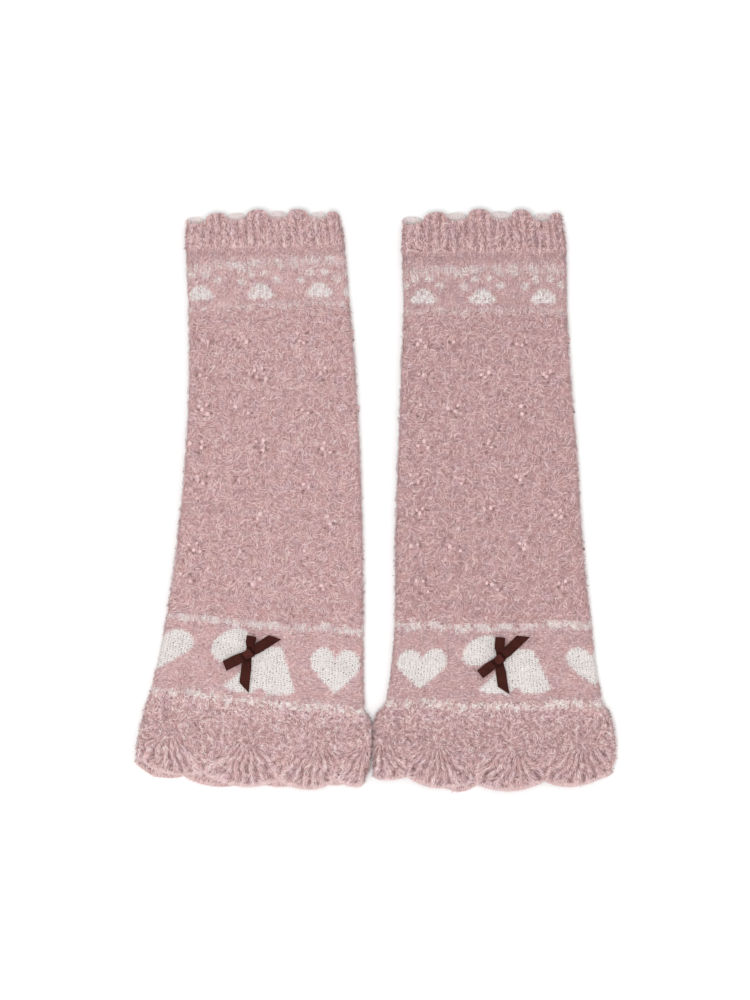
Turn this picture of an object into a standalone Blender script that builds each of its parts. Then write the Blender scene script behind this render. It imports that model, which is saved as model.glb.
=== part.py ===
"""Pair of knitted leg warmers laid flat side by side, each with a ribbon bow.

Metres, +Z up. The cuffs point to +Y, the hems to -Y, and the undersides rest on Z = 0. The origin
is at the bottom centre of the pair.

Each leg warmer is one knitted tube pressed flat, so every cross-section is a flattened ring: a
back layer on the ground, a front layer on it and a soft fold at each side. A place on the cloth
is named by two numbers. "around" runs from 0 at the left fold across the front to 1 at the right
fold, and back underneath to 2. "down" is the distance along the cloth from the tips of the cuff.
"""
import math
from collections import namedtuple

import bmesh
import bpy
from mathutils import Vector

MM = 0.001

# The cloth: a brushed knit, with its pile counted in the wall.
WALL = 2.6 * MM
SLIT = 0.8 * MM
FOLD_RADIUS = WALL + SLIT / 2
FOLD_PUFF = 1.1 * MM
FOLD_PUFF_REACH = 9 * MM
SEAM_GAP = 0.3 * MM

# The scalloped edges.
CUFF_SCALLOP = 6.0 * MM
CUFF_BACK_LOWER = 1.4 * MM
CUFF_FLUTE = 0.7 * MM
CUFF_RIB = 0.45 * MM
RIBS_A_SCALLOP = 5
HEM_SCALLOP = 6.3 * MM
HEM_DOME = 2.4 * MM
HEM_RAY = 0.75 * MM
RAYS_A_FAN = 7
RAY_START = 0.3
FAN_GATHER = 0.75
BACK_COLUMNS = 6

# The ribbon.
RIBBON_WIDTH = 7 * MM
RIBBON_PINCH = 3.6 * MM
RIBBON_THICK = 0.45 * MM
RIBBON_REST = 0.45 * MM
TAIL_CUT = 6.2 * MM
KNOT_SIZE = (7.4 * MM, 6.4 * MM, 3.4 * MM)
KNOT_BEVEL = 1.2 * MM
ARM_START = 4.7 * MM

PINK = (0.55, 0.36, 0.36, 1)
PALE_PINK = (0.62, 0.47, 0.46, 1)
BROWN = (0.07, 0.022, 0.017, 1)

# From the zero of the tables below to the middle of the pair's footprint, which is the origin.
FOOTPRINT_MIDDLE = Vector((-0.01 * MM, -0.35 * MM, 0))

# One knitted row across a leg warmer: where its two ends lie, in millimetres, and how far its
# middle is arched toward the cuff.
Course = namedtuple("Course", "place down left_x left_y right_x right_y arch")

LEFT_COURSES = [
    Course("cuff edge", 0, -131.6, 197.2, -26.2, 201.0, 3.6),
    Course("cuff base", 23, -132.9, 175.7, -21.6, 177.8, 0.7),
    Course("paw band base", 64.5, -130.8, 133.7, -17.9, 136.5, 0),
    Course("upper leg", 114, -130.4, 85.0, -13.8, 86.0, 0),
    Course("middle leg", 171, -133.2, 28.5, -10.6, 24.8, 0),
    Course("lower leg", 228, -138.6, -27.0, -8.8, -35.0, 0),
    Course("leg base", 286, -145.8, -78.4, -8.2, -90.3, 0),
    Course("heart band base", 338, -157.2, -133.0, -7.4, -145.6, 0),
    Course("hem flare", 350, -161.2, -144.5, -3.0, -155.5, -1.5),
    Course("hem middle", 372, -165.7, -164.4, -2.4, -174.6, -5.0),
    Course("hem edge", 398, -168.0, -185.2, -8.0, -199.4, -8.0),
]
RIGHT_COURSES = [
    Course("cuff edge", 0, 19.6, 197.6, 129.6, 200.0, 4.3),
    Course("cuff base", 23, 18.3, 172.9, 133.5, 173.6, 0.7),
    Course("paw band base", 64.5, 19.4, 131.6, 134.0, 131.6, 0),
    Course("upper leg", 114, 17.6, 84.0, 136.6, 84.0, 0),
    Course("middle leg", 171, 15.6, 28.0, 141.2, 28.0, 0),
    Course("lower leg", 228, 13.6, -28.0, 144.8, -28.0, 0),
    Course("leg base", 286, 12.8, -91.7, 151.4, -90.3, 2.0),
    Course("heart band base", 338, 7.0, -140.7, 158.4, -139.3, -1.4),
    Course("hem flare", 349, -0.6, -151.9, 164.6, -151.2, -2.0),
    Course("hem middle", 371, -1.2, -172.6, 167.8, -172.4, -5.6),
    Course("hem edge", 397, -1.8, -193.9, 163.6, -196.0, -8.2),
]

# A stretch of the tube, between two rows of the course table.
Zone = namedtuple("Zone", "name start end rows rows_inside colour")

ZONES = [
    Zone("cuff", 0, 1, 4, 2, PINK),
    Zone("paw_band", 1, 2, 3, 1, PALE_PINK),
    Zone("leg", 2, 6, 12, 6, PINK),
    Zone("heart_band", 6, 7, 4, 2, PALE_PINK),
    Zone("hem", 7, 10, 9, 4, PINK),
]

# The middles of the scallops and fans, eight round the tube, of which the first four are in front.
LEFT_SCALLOPS = (0.20, 0.464, 0.728, 0.967, 1.132, 1.41, 1.675, 1.947)
RIGHT_SCALLOPS = (0.21, 0.48, 0.744, 0.968, 1.12, 1.39, 1.667, 1.94)
LEFT_FANS = (0.13, 0.465, 0.765, 0.965, 1.12, 1.37, 1.62, 1.945)
RIGHT_FANS = (0.03, 0.265, 0.575, 0.854, 1.11, 1.38, 1.64, 1.84)

# How far the back layer's hem hangs below the front one: everywhere, and more at one place.
Drop = namedtuple("Drop", "base extra around half_width")

LEFT_DROP = Drop(-2.0, 7.4, 1.84, 0.30)
RIGHT_DROP = Drop(-5.5, 7.2, 1.64, 0.10)

# A soft swell of the front layer, which lies loosely on the back one.
Swell = namedtuple("Swell", "around down half_width half_length height")

LEFT_SWELLS = [
    Swell(0.72, 118, 0.22, 40, 0.7),
    Swell(0.30, 196, 0.25, 46, 0.6),
    Swell(0.66, 262, 0.24, 34, 0.5),
    Swell(0.16, 318, 0.16, 20, 0.9),
]
RIGHT_SWELLS = [
    Swell(0.68, 128, 0.26, 38, 0.8),
    Swell(0.34, 214, 0.24, 44, 0.6),
    Swell(0.80, 250, 0.16, 36, 0.6),
    Swell(0.84, 324, 0.14, 20, 0.7),
]

# One arm of a bow: its direction on the cloth, anticlockwise from the +X side, its length from the
# knot's centre, and how high a loop stands. A tail has no height.
Arm = namedtuple("Arm", "name angle length height")

LEFT_BOW = [
    Arm("tail_up", 32.5, 21.6, 0),
    Arm("loop_up", 82, 13.2, 3.6),
    Arm("loop_side", 208, 18.9, 2.6),
    Arm("tail_down", 265, 23.7, 0),
]
RIGHT_BOW = [
    Arm("tail_up", 40, 24.0, 0),
    Arm("loop_up", 87, 16.0, 3.6),
    Arm("loop_side", 218, 16.4, 2.6),
    Arm("tail_down", 278, 21.8, 0),
]

LegWarmer = namedtuple(
    "LegWarmer", "name courses scallops fans drop swells bow bow_around bow_down"
)
LEG_WARMERS = [
    LegWarmer(
        "left", LEFT_COURSES, LEFT_SCALLOPS, LEFT_FANS, LEFT_DROP, LEFT_SWELLS, LEFT_BOW,
        0.441, 308.4,
    ),
    LegWarmer(
        "right", RIGHT_COURSES, RIGHT_SCALLOPS, RIGHT_FANS, RIGHT_DROP, RIGHT_SWELLS, RIGHT_BOW,
        0.524, 308.3,
    ),
]


def clear_scene():
    """Removes what the startup file holds."""
    for thing in list(bpy.data.objects):
        bpy.data.objects.remove(thing)


def smooth_step(value):
    """0 below 0, 1 above 1 and a smooth rise between."""
    t = min(1.0, max(0.0, value))
    return t * t * (3 - 2 * t)


def course_values(courses, down):
    """The ends and arch of the row at a distance down the cloth, in metres, on smooth curves."""
    last = len(courses) - 2
    i = next((k for k in range(last + 1) if down < courses[k + 1].down * MM), last)
    near = [courses[max(i - 1, 0)], courses[i], courses[i + 1], courses[min(i + 2, last + 1)]]
    at = [c.down * MM for c in near]
    span = at[2] - at[1]
    t = (down - at[1]) / span

    def along(field):
        before, a, b, after = (getattr(c, field) * MM for c in near)
        slope_a = (b - before) / (at[2] - at[0])
        slope_b = (after - a) / (at[3] - at[1])
        if t > 1:
            return b + slope_b * (down - at[2])
        return (
            (2 * t**3 - 3 * t**2 + 1) * a
            + (t**3 - 2 * t**2 + t) * span * slope_a
            + (3 * t**2 - 2 * t**3) * b
            + (t**3 - t**2) * span * slope_b
        )

    left = Vector((along("left_x"), along("left_y"), 0))
    right = Vector((along("right_x"), along("right_y"), 0))
    return left, right, along("arch")


def ring_place(around, half_width, radius):
    """Across, up and topness of a flattened ring whose folds have the given radius.

    The place runs round the outer skin, whatever the radius, so that points of both skins face
    each other. Topness is 1 on the front layer, 0 at the folds' tips and on the back.
    """
    around %= 2
    front = around <= 1
    flat = half_width - FOLD_RADIUS
    length = 2 * flat + math.pi * FOLD_RADIUS
    run = (around if front else around - 1) * length
    quarter = math.pi * FOLD_RADIUS / 2
    if run < quarter:
        angle = math.pi - run / FOLD_RADIUS
        across, up = -flat + radius * math.cos(angle), math.sin(angle)
    elif run > length - quarter:
        angle = (length - run) / FOLD_RADIUS
        across, up = flat + radius * math.cos(angle), math.sin(angle)
    else:
        across, up = run - quarter - flat, 1.0
    if front:
        return across, radius * up, up
    return -across, -radius * up, 0.0


def repeats_of(middles):
    """The start, middle and end of each scallop or fan. They meet halfway between the middles."""
    before = [middles[-1] - 2, *middles[:-1]]
    after = [*middles[1:], middles[0] + 2]
    return [((a + b) / 2, b, (b + c) / 2) for a, b, c in zip(before, middles, after)]


def in_repeat(middles, around):
    """Where a place lies across its scallop or fan, from -1 to 1, and the half's width there."""
    for start, middle, end in repeats_of(middles):
        at = start + (around - start) % 2
        if at <= end:
            half = middle - start if at < middle else end - middle
            return (at - middle) / half, half
    raise ValueError(around)


def cuff_lobe(warmer, around):
    """1 at the tip of a cuff scallop, 0 between two."""
    across, _ = in_repeat(warmer.scallops, around)
    wave = math.cos(math.pi * across)
    return 0.5 + 0.5 * math.copysign(abs(wave) ** 0.45, wave)


def cuff_lowered(around):
    """How far the back layer's cuff ends below the front one, fading out at the folds."""
    around %= 2
    return CUFF_BACK_LOWER * smooth_step(min(around - 1, 2 - around) / 0.1)


def hem_lobe(warmer, around):
    """1 at the middle of a hem fan, 0 at the notch between two."""
    across, _ = in_repeat(warmer.fans, around)
    return abs(math.cos(math.pi / 2 * across)) ** 0.75


def back_drop(warmer, around):
    """How far the back layer's hem hangs below the front one, fading out at the folds."""
    around %= 2
    drop = warmer.drop
    off = (around - drop.around) / drop.half_width
    from_fold = min(abs(around - 1), 2 - around)
    hang = drop.base + drop.extra * math.exp(-(off**2))
    return hang * MM * smooth_step(from_fold / 0.1) if around > 1 else 0.0


def fan_spread(warmer, around, along):
    """Columns of a fan start close together at its top and spread out toward the edge."""
    across, half = in_repeat(warmer.fans, around)
    moved = math.copysign(abs(across) ** (1 + FAN_GATHER * (1 - along)), across)
    from_fold = min(around % 1, 1 - around % 1)
    return around + (moved - across) * half * smooth_step(from_fold / 0.1)


def swell_height(warmer, around, down):
    """Height of the loose swells of the front layer at a place."""
    total = 0.0
    for swell in warmer.swells:
        across = (around - swell.around) / swell.half_width
        along = (down / MM - swell.down) / swell.half_length
        total += swell.height * MM * math.exp(-(across**2) - along**2)
    return total


def cloth_point(warmer, around, down, depth=0.0, lift=0.0):
    """A point of the cloth: depth goes into the wall from its outer skin, lift raises the front."""
    left, right, arch = course_values(warmer.courses, down)
    half_width = (right - left).length / 2
    across, up, topness = ring_place(around, half_width, FOLD_RADIUS - depth)
    share = across / half_width
    to_fold = max(0.0, half_width - FOLD_RADIUS - abs(across))
    puff = FOLD_PUFF * math.exp(-((to_fold / FOLD_PUFF_REACH) ** 2))
    raised = topness * (puff + lift + swell_height(warmer, around, down))
    point = (left + right) / 2 + (right - left) / 2 * share
    point.y += arch * (1 - share**2)
    point.z = FOLD_RADIUS + up + raised
    return point


def columns_of(cells):
    """Places round the ring with their ridge heights, 0 or 1, and extra ones at the two folds.

    cells lists (start, end, columns, ridged): a ridged cell has a ridge on every second column.
    """
    fold_step = 0.014
    folds = [fold + k * fold_step for fold in (0, 1, 2) for k in (-2, -1, 0, 1, 2)]
    columns = [(place % 2, 0) for place in folds if -1e-9 < place < 2 - 1e-9]
    for start, end, count, ridged in cells:
        for k in range(count):
            place = (start + (end - start) * k / count) % 2
            if min(abs(place - fold) for fold in folds) > fold_step / 2:
                columns.append((place, k % 2 if ridged else 0))
    return sorted(columns)


def repeat_cells(middles, ridges):
    """One cell for each scallop or fan, with ridges only where it shows on the front layer."""
    return [
        (start, end, 2 * ridges if middle < 1 else BACK_COLUMNS, middle < 1)
        for start, middle, end in repeats_of(middles)
    ]


def cuff_skin(warmer, place, along, depth, ridge):
    """A point of the cuff, whose upper edge is scalloped and whose ribs fade toward its base."""
    lobe = cuff_lobe(warmer, place)
    start = CUFF_SCALLOP * (1 - lobe) + cuff_lowered(place)
    end = warmer.courses[1].down * MM - SEAM_GAP / 2
    down = start + (end - start) * along
    lift = CUFF_FLUTE * lobe * (1 - along)
    if not depth:
        lift += CUFF_RIB * ridge * smooth_step(3 * (1 - along))
    return cloth_point(warmer, place, down, depth, lift)


def hem_skin(warmer, place, along, depth, ridge):
    """A point of the hem: fans that dome up and spread to a scalloped edge, with raised rays."""
    place = fan_spread(warmer, place, along)
    lobe = hem_lobe(warmer, place)
    start = warmer.courses[7].down * MM + SEAM_GAP / 2
    end = warmer.courses[-1].down * MM - HEM_SCALLOP * (1 - lobe) + back_drop(warmer, place)
    down = start + (end - start) * along
    lift = HEM_DOME * lobe * smooth_step(along)
    if not depth:
        lift += HEM_RAY * ridge * smooth_step((along - RAY_START) / (0.8 - RAY_START))
    return cloth_point(warmer, place, down, depth, lift)


def plain_skin(zone):
    """The point function of a stretch with straight ends."""

    def skin(warmer, place, along, depth, ridge):
        start = warmer.courses[zone.start].down * MM + SEAM_GAP / 2
        end = warmer.courses[zone.end].down * MM - SEAM_GAP / 2
        return cloth_point(warmer, place, start + (end - start) * along, depth)

    return skin


def make_material(name, colour, roughness, sheen=0.0):
    """A Principled BSDF material, made once for each name."""
    material = bpy.data.materials.get(name)
    if material is None:
        material = bpy.data.materials.new(name)
        material.use_nodes = True
        shader = material.node_tree.nodes["Principled BSDF"]
        shader.inputs["Base Color"].default_value = colour
        shader.inputs["Roughness"].default_value = roughness
        shader.inputs["Metallic"].default_value = 0.0
        shader.inputs["Sheen Weight"].default_value = sheen
    return material


def add_object(name, bm, material, collection):
    """Makes the bmesh an object of the collection."""
    bmesh.ops.recalc_face_normals(bm, faces=bm.faces)
    mesh = bpy.data.meshes.new(name)
    bm.to_mesh(mesh)
    bm.free()
    mesh.materials.append(material)
    thing = bpy.data.objects.new(name, mesh)
    collection.objects.link(thing)
    return thing


def loft_wall(rings):
    """A closed wall through rings of equal count, where the last ring joins the first again."""
    bm = bmesh.new()
    loops = [[bm.verts.new(point) for point in ring] for ring in rings]
    for ring, following in zip(loops, loops[1:] + loops[:1]):
        for i in range(len(ring)):
            j = (i + 1) % len(ring)
            bm.faces.new((ring[i], ring[j], following[j], following[i]))
    return bm


def build_zone(warmer, zone, collection):
    """One stretch of the knitted tube, lofted down its outer skin and back up its inner one."""
    if zone.name == "cuff":
        skin = cuff_skin
        columns = columns_of(repeat_cells(warmer.scallops, RIBS_A_SCALLOP))
    elif zone.name == "hem":
        skin = hem_skin
        columns = columns_of(repeat_cells(warmer.fans, RAYS_A_FAN))
    else:
        skin = plain_skin(zone)
        columns = columns_of([(0, 1, 20, False), (1, 2, 6, False)])
    rows = [(k / zone.rows, 0.0) for k in range(zone.rows + 1)]
    rows += [(k / zone.rows_inside, WALL) for k in range(zone.rows_inside, -1, -1)]
    rings = [
        [skin(warmer, place, along, depth, ridge) for place, ridge in columns]
        for along, depth in rows
    ]
    name = "colourwork_knit" if zone.colour == PALE_PINK else "brushed_knit"
    material = make_material(name, zone.colour, 0.95, 0.6)
    thing = add_object(f"{warmer.name}_{zone.name}", loft_wall(rings), material, collection)
    thing.data.shade_smooth()
    thing.data.set_sharp_from_angle(angle=math.radians(35))
    return thing


def point_on_front(warmer, angle, out, side, lift):
    """A point over the front layer at the bow: out along an arm, to its left side, and lifted."""
    x = out * math.cos(angle) - side * math.sin(angle)
    y = out * math.sin(angle) + side * math.cos(angle)
    left, right, _ = course_values(warmer.courses, warmer.bow_down * MM)
    half_width = (right - left).length / 2
    length = 2 * (half_width - FOLD_RADIUS) + math.pi * FOLD_RADIUS
    point = cloth_point(warmer, warmer.bow_around + x / length, warmer.bow_down * MM - y)
    point.z += lift
    return point


def arm_half_width(out, reach):
    """Half the ribbon's width along an arm: pinched at the knot, full after a third of it."""
    share = smooth_step((out - ARM_START) / (0.4 * reach))
    return (RIBBON_PINCH + (RIBBON_WIDTH - RIBBON_PINCH) * share) / 2


def tail_point(warmer, arm, along, side):
    """A point of a tail's middle surface. Its end is cut at a slant, longer on the outer side."""
    reach = arm.length * MM - ARM_START
    longer = 1 if arm.name == "tail_down" else -1
    out = ARM_START + along * (reach + longer * side * TAIL_CUT / 2)
    wave = 0.9 * MM * math.sin(math.pi * along) ** 2 + 0.5 * MM * (1 - along)
    width = arm_half_width(out, reach)
    return point_on_front(warmer, math.radians(arm.angle), out, side * width, RIBBON_REST + wave)


def loop_point(warmer, arm, along, side):
    """A point of a loop's middle surface, which runs out from the knot, turns and comes back."""
    reach = arm.length * MM - ARM_START
    out = ARM_START + reach * (1 - abs(1 - 2 * along) ** 2.6)
    share = (out - ARM_START) / reach
    height = arm.height * MM
    top = smooth_step(along)
    rise = 0.6 * height * share if arm.name == "loop_up" else 0.0
    lift = RIBBON_REST + rise + 0.35 * height * top + 0.65 * height * top * share
    width = arm_half_width(out, reach)
    return point_on_front(warmer, math.radians(arm.angle), out, side * width, lift)


def build_arm(warmer, arm, collection):
    """One arm of the bow: a strip of ribbon with its thickness from Solidify."""
    bm = bmesh.new()
    segments, place = (16, loop_point) if arm.height else (8, tail_point)
    bmesh.ops.create_grid(bm, x_segments=segments, y_segments=2, size=1.0)
    for vert in bm.verts:
        vert.co = place(warmer, arm, (vert.co.x + 1) / 2, vert.co.y)
    material = make_material("satin_ribbon", BROWN, 0.42)
    thing = add_object(f"{warmer.name}_bow_{arm.name}", bm, material, collection)
    solidify = thing.modifiers.new("Ribbon thickness", "SOLIDIFY")
    solidify.thickness = RIBBON_THICK
    solidify.offset = 0.0
    return thing


def build_knot(warmer, collection):
    """The wrap of ribbon at the bow's centre, a soft block with rounded edges."""
    bm = bmesh.new()
    bmesh.ops.create_cube(bm, size=1.0)
    bmesh.ops.scale(bm, vec=KNOT_SIZE, verts=bm.verts)
    material = make_material("satin_ribbon", BROWN, 0.42)
    thing = add_object(f"{warmer.name}_bow_knot", bm, material, collection)
    thing.location = point_on_front(warmer, 0, 0, 0, KNOT_SIZE[2] / 2 + SEAM_GAP)
    thing.rotation_euler.z = math.radians(warmer.bow[0].angle)
    bevel = thing.modifiers.new("Soft edges", "BEVEL")
    bevel.width = KNOT_BEVEL
    bevel.segments = 3
    return thing


def build_leg_warmer(warmer, collection):
    """All pieces of one leg warmer, parented to an empty."""
    anchor = bpy.data.objects.new(f"{warmer.name}_leg_warmer", None)
    anchor.location = -FOOTPRINT_MIDDLE
    collection.objects.link(anchor)
    pieces = [build_zone(warmer, zone, collection) for zone in ZONES]
    pieces += [build_arm(warmer, arm, collection) for arm in warmer.bow]
    pieces.append(build_knot(warmer, collection))
    for piece in pieces:
        piece.parent = anchor


def main():
    clear_scene()
    collection = bpy.data.collections.new("leg_warmers")
    bpy.context.scene.collection.children.link(collection)
    for warmer in LEG_WARMERS:
        build_leg_warmer(warmer, collection)


main()
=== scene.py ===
"""Looks of a pair of brushed knitted leg warmers, laid flat, each with a tied satin bow.

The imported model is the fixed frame. Each knitted stretch of the two tubes is replaced by a thin
wall with its stitches, ribs, fans and colourwork, under a pile of brushed fibres, and each part of
the bows by creased ribbon. Metres, +Z up, cuffs toward +Y.
"""
from __future__ import annotations

import logging
import math
from dataclasses import dataclass
from enum import Enum
from typing import Callable

import bmesh
import bpy
import numpy as np
from mathutils import Matrix, Vector


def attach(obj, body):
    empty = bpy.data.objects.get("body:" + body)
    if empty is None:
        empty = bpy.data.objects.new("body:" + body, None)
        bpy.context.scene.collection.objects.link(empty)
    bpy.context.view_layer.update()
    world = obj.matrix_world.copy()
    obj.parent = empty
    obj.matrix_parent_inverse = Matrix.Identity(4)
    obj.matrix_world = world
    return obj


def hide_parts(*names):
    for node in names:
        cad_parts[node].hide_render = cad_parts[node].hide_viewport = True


Array = np.ndarray
Colour = tuple[float, float, float]
Offsets = tuple[tuple[float, float], ...]
Node, Socket, Material = bpy.types.Node, bpy.types.NodeSocket, bpy.types.Material
Piece, Mesh = bpy.types.Object, bpy.types.Mesh
Work, MapLayer = bmesh.types.BMesh, bmesh.types.BMLayerItem

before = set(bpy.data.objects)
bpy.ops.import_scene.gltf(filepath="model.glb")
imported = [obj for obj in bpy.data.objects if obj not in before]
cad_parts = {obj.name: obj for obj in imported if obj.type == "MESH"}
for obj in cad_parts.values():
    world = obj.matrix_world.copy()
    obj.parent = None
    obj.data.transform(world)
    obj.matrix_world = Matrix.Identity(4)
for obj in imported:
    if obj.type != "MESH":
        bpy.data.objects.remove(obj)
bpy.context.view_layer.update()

MM = 0.001
LOG = logging.getLogger("leg_warmers")

# The map that stitches are counted on, and the one that surfaces are unrolled on.
STITCH_MAP = "Stitches"
UNROLLED_MAP = "OFBake"
# The colour attribute: the yarn's dye with painted highlight and shade on the knit, and only painted
# highlight and shade on the ribbon.
DYE = "Dye"

# The cloth as the solids have it.
WALL = 2.6 * MM
SLIT = 0.8 * MM
FOLD_RADIUS = WALL + SLIT / 2
FOLD_PUFF = 1.1 * MM
FOLD_PUFF_REACH = 9 * MM
SKIN_DEPTH = 0.35 * MM
SKIN_WALL = 1.9 * MM
CUFF_SCALLOP = 6.0 * MM
CUFF_BACK_LOWER = 1.4 * MM
CUFF_FLUTE = 0.7 * MM
HEM_SCALLOP = 6.3 * MM
HEM_DOME = 2.4 * MM
RIBS_A_SCALLOP = 5
FOOTPRINT_MIDDLE = np.array((-0.01, -0.35, 0.0)) * MM

# The photograph's frame, which shows the pair from straight above.
CAMERA_HEIGHT = 3.0
FRAME_HEIGHT = 0.70
CAMERA_X, CAMERA_Y = -0.34 * MM, 0.35 * MM


class Dye(Enum):
    """Yarn colours, linear."""

    ROSE = (0.485, 0.298, 0.294)
    BAND_ROSE = (0.575, 0.372, 0.372)
    CREAM = (0.790, 0.742, 0.722)
    LINING = (0.770, 0.722, 0.708)
    RIM = (0.700, 0.520, 0.508)


class Value:
    """A number in a material, to which arithmetic adds Math nodes."""

    def __init__(self, sheet: NodeSheet, socket: Socket) -> None:
        """Wraps an output of one of the material's nodes."""
        self.sheet, self.socket = sheet, socket

    def __add__(self, other: Value | float) -> Value:
        """The sum."""
        return self.sheet.maths("ADD", self, other)

    def __sub__(self, other: Value | float) -> Value:
        """The difference."""
        return self.sheet.maths("SUBTRACT", self, other)

    def __rsub__(self, other: float) -> Value:
        """What this leaves of a number."""
        return self.sheet.maths("SUBTRACT", other, self)

    def __mul__(self, other: Value | float) -> Value:
        """The product."""
        return self.sheet.maths("MULTIPLY", self, other)


class NodeSheet:
    """Writes a material's nodes in short calls."""

    def __init__(self, name: str) -> None:
        """Starts a material that holds a Principled BSDF and an output.

        Args:
            name: the material's name.
        """
        self.material = bpy.data.materials.new(name)
        self.material.use_nodes = True
        self.tree = self.material.node_tree

    def fill(self, node: Node, inputs: dict[int | str, object]) -> Node:
        """Sets or links a node's inputs.

        Args:
            node: the node.
            inputs: a plain value, a socket or a Value for each input, by its name or number.

        Returns:
            The same node.
        """
        for key, value in inputs.items():
            value = value.socket if isinstance(value, Value) else value
            if isinstance(value, Socket):
                self.tree.links.new(value, node.inputs[key])
            else:
                node.inputs[key].default_value = value
        return node

    def add(self, kind: str, inputs: dict | None = None, **settings: object) -> Node:
        """Adds a node.

        Args:
            kind: the node's type, without its ShaderNode prefix.
            inputs: what goes into it.
            settings: properties of the node.

        Returns:
            The node.
        """
        node = self.tree.nodes.new("ShaderNode" + kind)
        for key, value in settings.items():
            setattr(node, key, value)
        return self.fill(node, inputs or {})

    def maths(self, operation: str, *values: Value | float, use_clamp: bool = False) -> Value:
        """Adds a Math node.

        Args:
            operation: what it works out.
            values: its inputs in order.
            use_clamp: whether the result is kept from 0 to 1.

        Returns:
            Its result.
        """
        node = self.add("Math", dict(enumerate(values)), operation=operation, use_clamp=use_clamp)
        return Value(self, node.outputs[0])

    def wave(self, value: Value) -> Value:
        """The sine of half turns."""
        return self.maths("SINE", value * math.pi)

    def coordinates(self, name: str) -> tuple[Value, Value]:
        """The two coordinates of a map."""
        split = self.add("SeparateXYZ", {0: self.add("UVMap", uv_map=name).outputs[0]})
        return Value(self, split.outputs[0]), Value(self, split.outputs[1])

    def noise(self, scale: float, detail: float = 2.0) -> Value:
        """Adds a Noise Texture that reads the object's coordinates.

        Args:
            scale: repeats a metre.
            detail: octaves.

        Returns:
            Its factor.
        """
        place = self.add("TexCoord").outputs["Object"]
        node = self.add("TexNoise", {"Vector": place, "Scale": scale, "Detail": detail})
        return Value(self, node.outputs[0])

    def ramp(self, factor: Value, stops: list[tuple[float, Colour]]) -> Socket:
        """Adds a colour ramp.

        Args:
            factor: what it reads.
            stops: each stop's place and colour.

        Returns:
            Its colour socket.
        """
        node = self.add("ValToRGB", {"Fac": factor})
        points = node.color_ramp.elements
        while len(points) < len(stops):
            points.new(0.5)
        for point, (place, colour) in zip(points, stops):
            point.position = place
            point.color = (*colour, 1)
        return node.outputs["Color"]

    def multiplied(self, first: Socket, second: Socket) -> Socket:
        """The product of two colours."""
        inputs = {0: 1.0, 6: first, 7: second}
        return self.add("Mix", inputs, data_type="RGBA", blend_type="MULTIPLY").outputs[2]

    def bump(self, height: Value, strength: float, distance: float) -> Socket:
        """A normal bent by a height."""
        return self.add("Bump", {"Strength": strength, "Distance": distance, "Height": height}).outputs[0]

    def dressed(self, inputs: dict[str, object]) -> Material:
        """Sets or links the shader's own inputs and gives the material back."""
        self.fill(self.tree.nodes["Principled BSDF"], inputs)
        return self.material


@dataclass(frozen=True)
class KnitFinish:
    """Knitted cloth: V-shaped stitches, painted shade at their edges and in dark specks between them,
    heather yarn.

    The shares say how much painted shade darkens a stitch at its edge, how dark the specks of painted shade
    between stitches are and how much the yarn varies. The flecks, drift and patches are the scales of the
    noises that do it.
    """

    name: str
    stitch_shade: float
    specks: float
    mottle: float
    bump: float
    coarse_flecks: float = 190.0
    fine_flecks: float = 900.0
    speck_drift: float = 330.0
    speck_patches: float = 430.0

    def material(self) -> Material:
        """Builds the node tree.

        Returns:
            The material.
        """
        sheet = NodeSheet(self.name)
        column, row = sheet.coordinates(STITCH_MAP)
        slant = sheet.maths("ABSOLUTE", sheet.maths("FRACT", column) - 0.5)
        across = sheet.wave(sheet.maths("FRACT", column * 2.0))
        along = sheet.wave(sheet.maths("FRACT", row + slant))
        stitch = across * sheet.maths("POWER", along, 0.6)
        fine = sheet.noise(self.fine_flecks)
        yarn = sheet.noise(self.coarse_flecks, 3.0) * 0.4 + fine * 0.6
        mottled = yarn * (2 * self.mottle) + (1 - self.mottle)
        # Painted shade: each stitch is darker toward its edges.
        shade = stitch * (self.stitch_shade * 1.3) + (1 - self.stitch_shade)
        dye = sheet.add("Attribute", attribute_name=DYE)
        # Painted shade in the gaps between stitches, stronger where the stitch is cream.
        dark = self.gaps(sheet, column, row) * (Value(sheet, dye.outputs["Alpha"]) * 0.66 + 0.15)
        light = shade * mottled * (1.0 - dark)
        rosy = sheet.maths("POWER", light, 1.15)
        grey = sheet.add("CombineColor", {0: light, 1: rosy, 2: rosy}).outputs[0]
        return sheet.dressed({
            "Base Color": sheet.multiplied(dye.outputs["Color"], grey),
            "Normal": sheet.bump(stitch + fine * 0.7, self.bump, 0.5 * MM),
            "Roughness": 0.92,
            "Sheen Weight": 0.25,
            "Sheen Roughness": 0.5,
            "Specular IOR Level": 0.25,
        })

    def gaps(self, sheet: NodeSheet, column: Value, row: Value) -> Value:
        """Adds painted shade: dark specks in the gaps between stitches, staggered from column to column and
        uneven.

        Args:
            sheet: the material.
            column: the column of stitches that a place is in.
            row: the row that it is in.

        Returns:
            How dark the painted shade makes the cloth there, 0 to 1.
        """
        shift = sheet.noise(self.speck_drift, 1.0)
        column = column + shift * 1.4
        row = row + shift * 1.9 + sheet.maths("ROUND", column) * 0.5
        folds = [sheet.maths("ABSOLUTE", sheet.wave(at)) for at in (column, row)]
        spot = sheet.maths("MAXIMUM", 1.02 - (folds[0] + folds[1]), 0.0)
        uneven = (sheet.noise(self.speck_patches, 1.0) - 0.26) * (6.4 * self.specks)
        return sheet.maths("MULTIPLY", spot, uneven, use_clamp=True)


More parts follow.
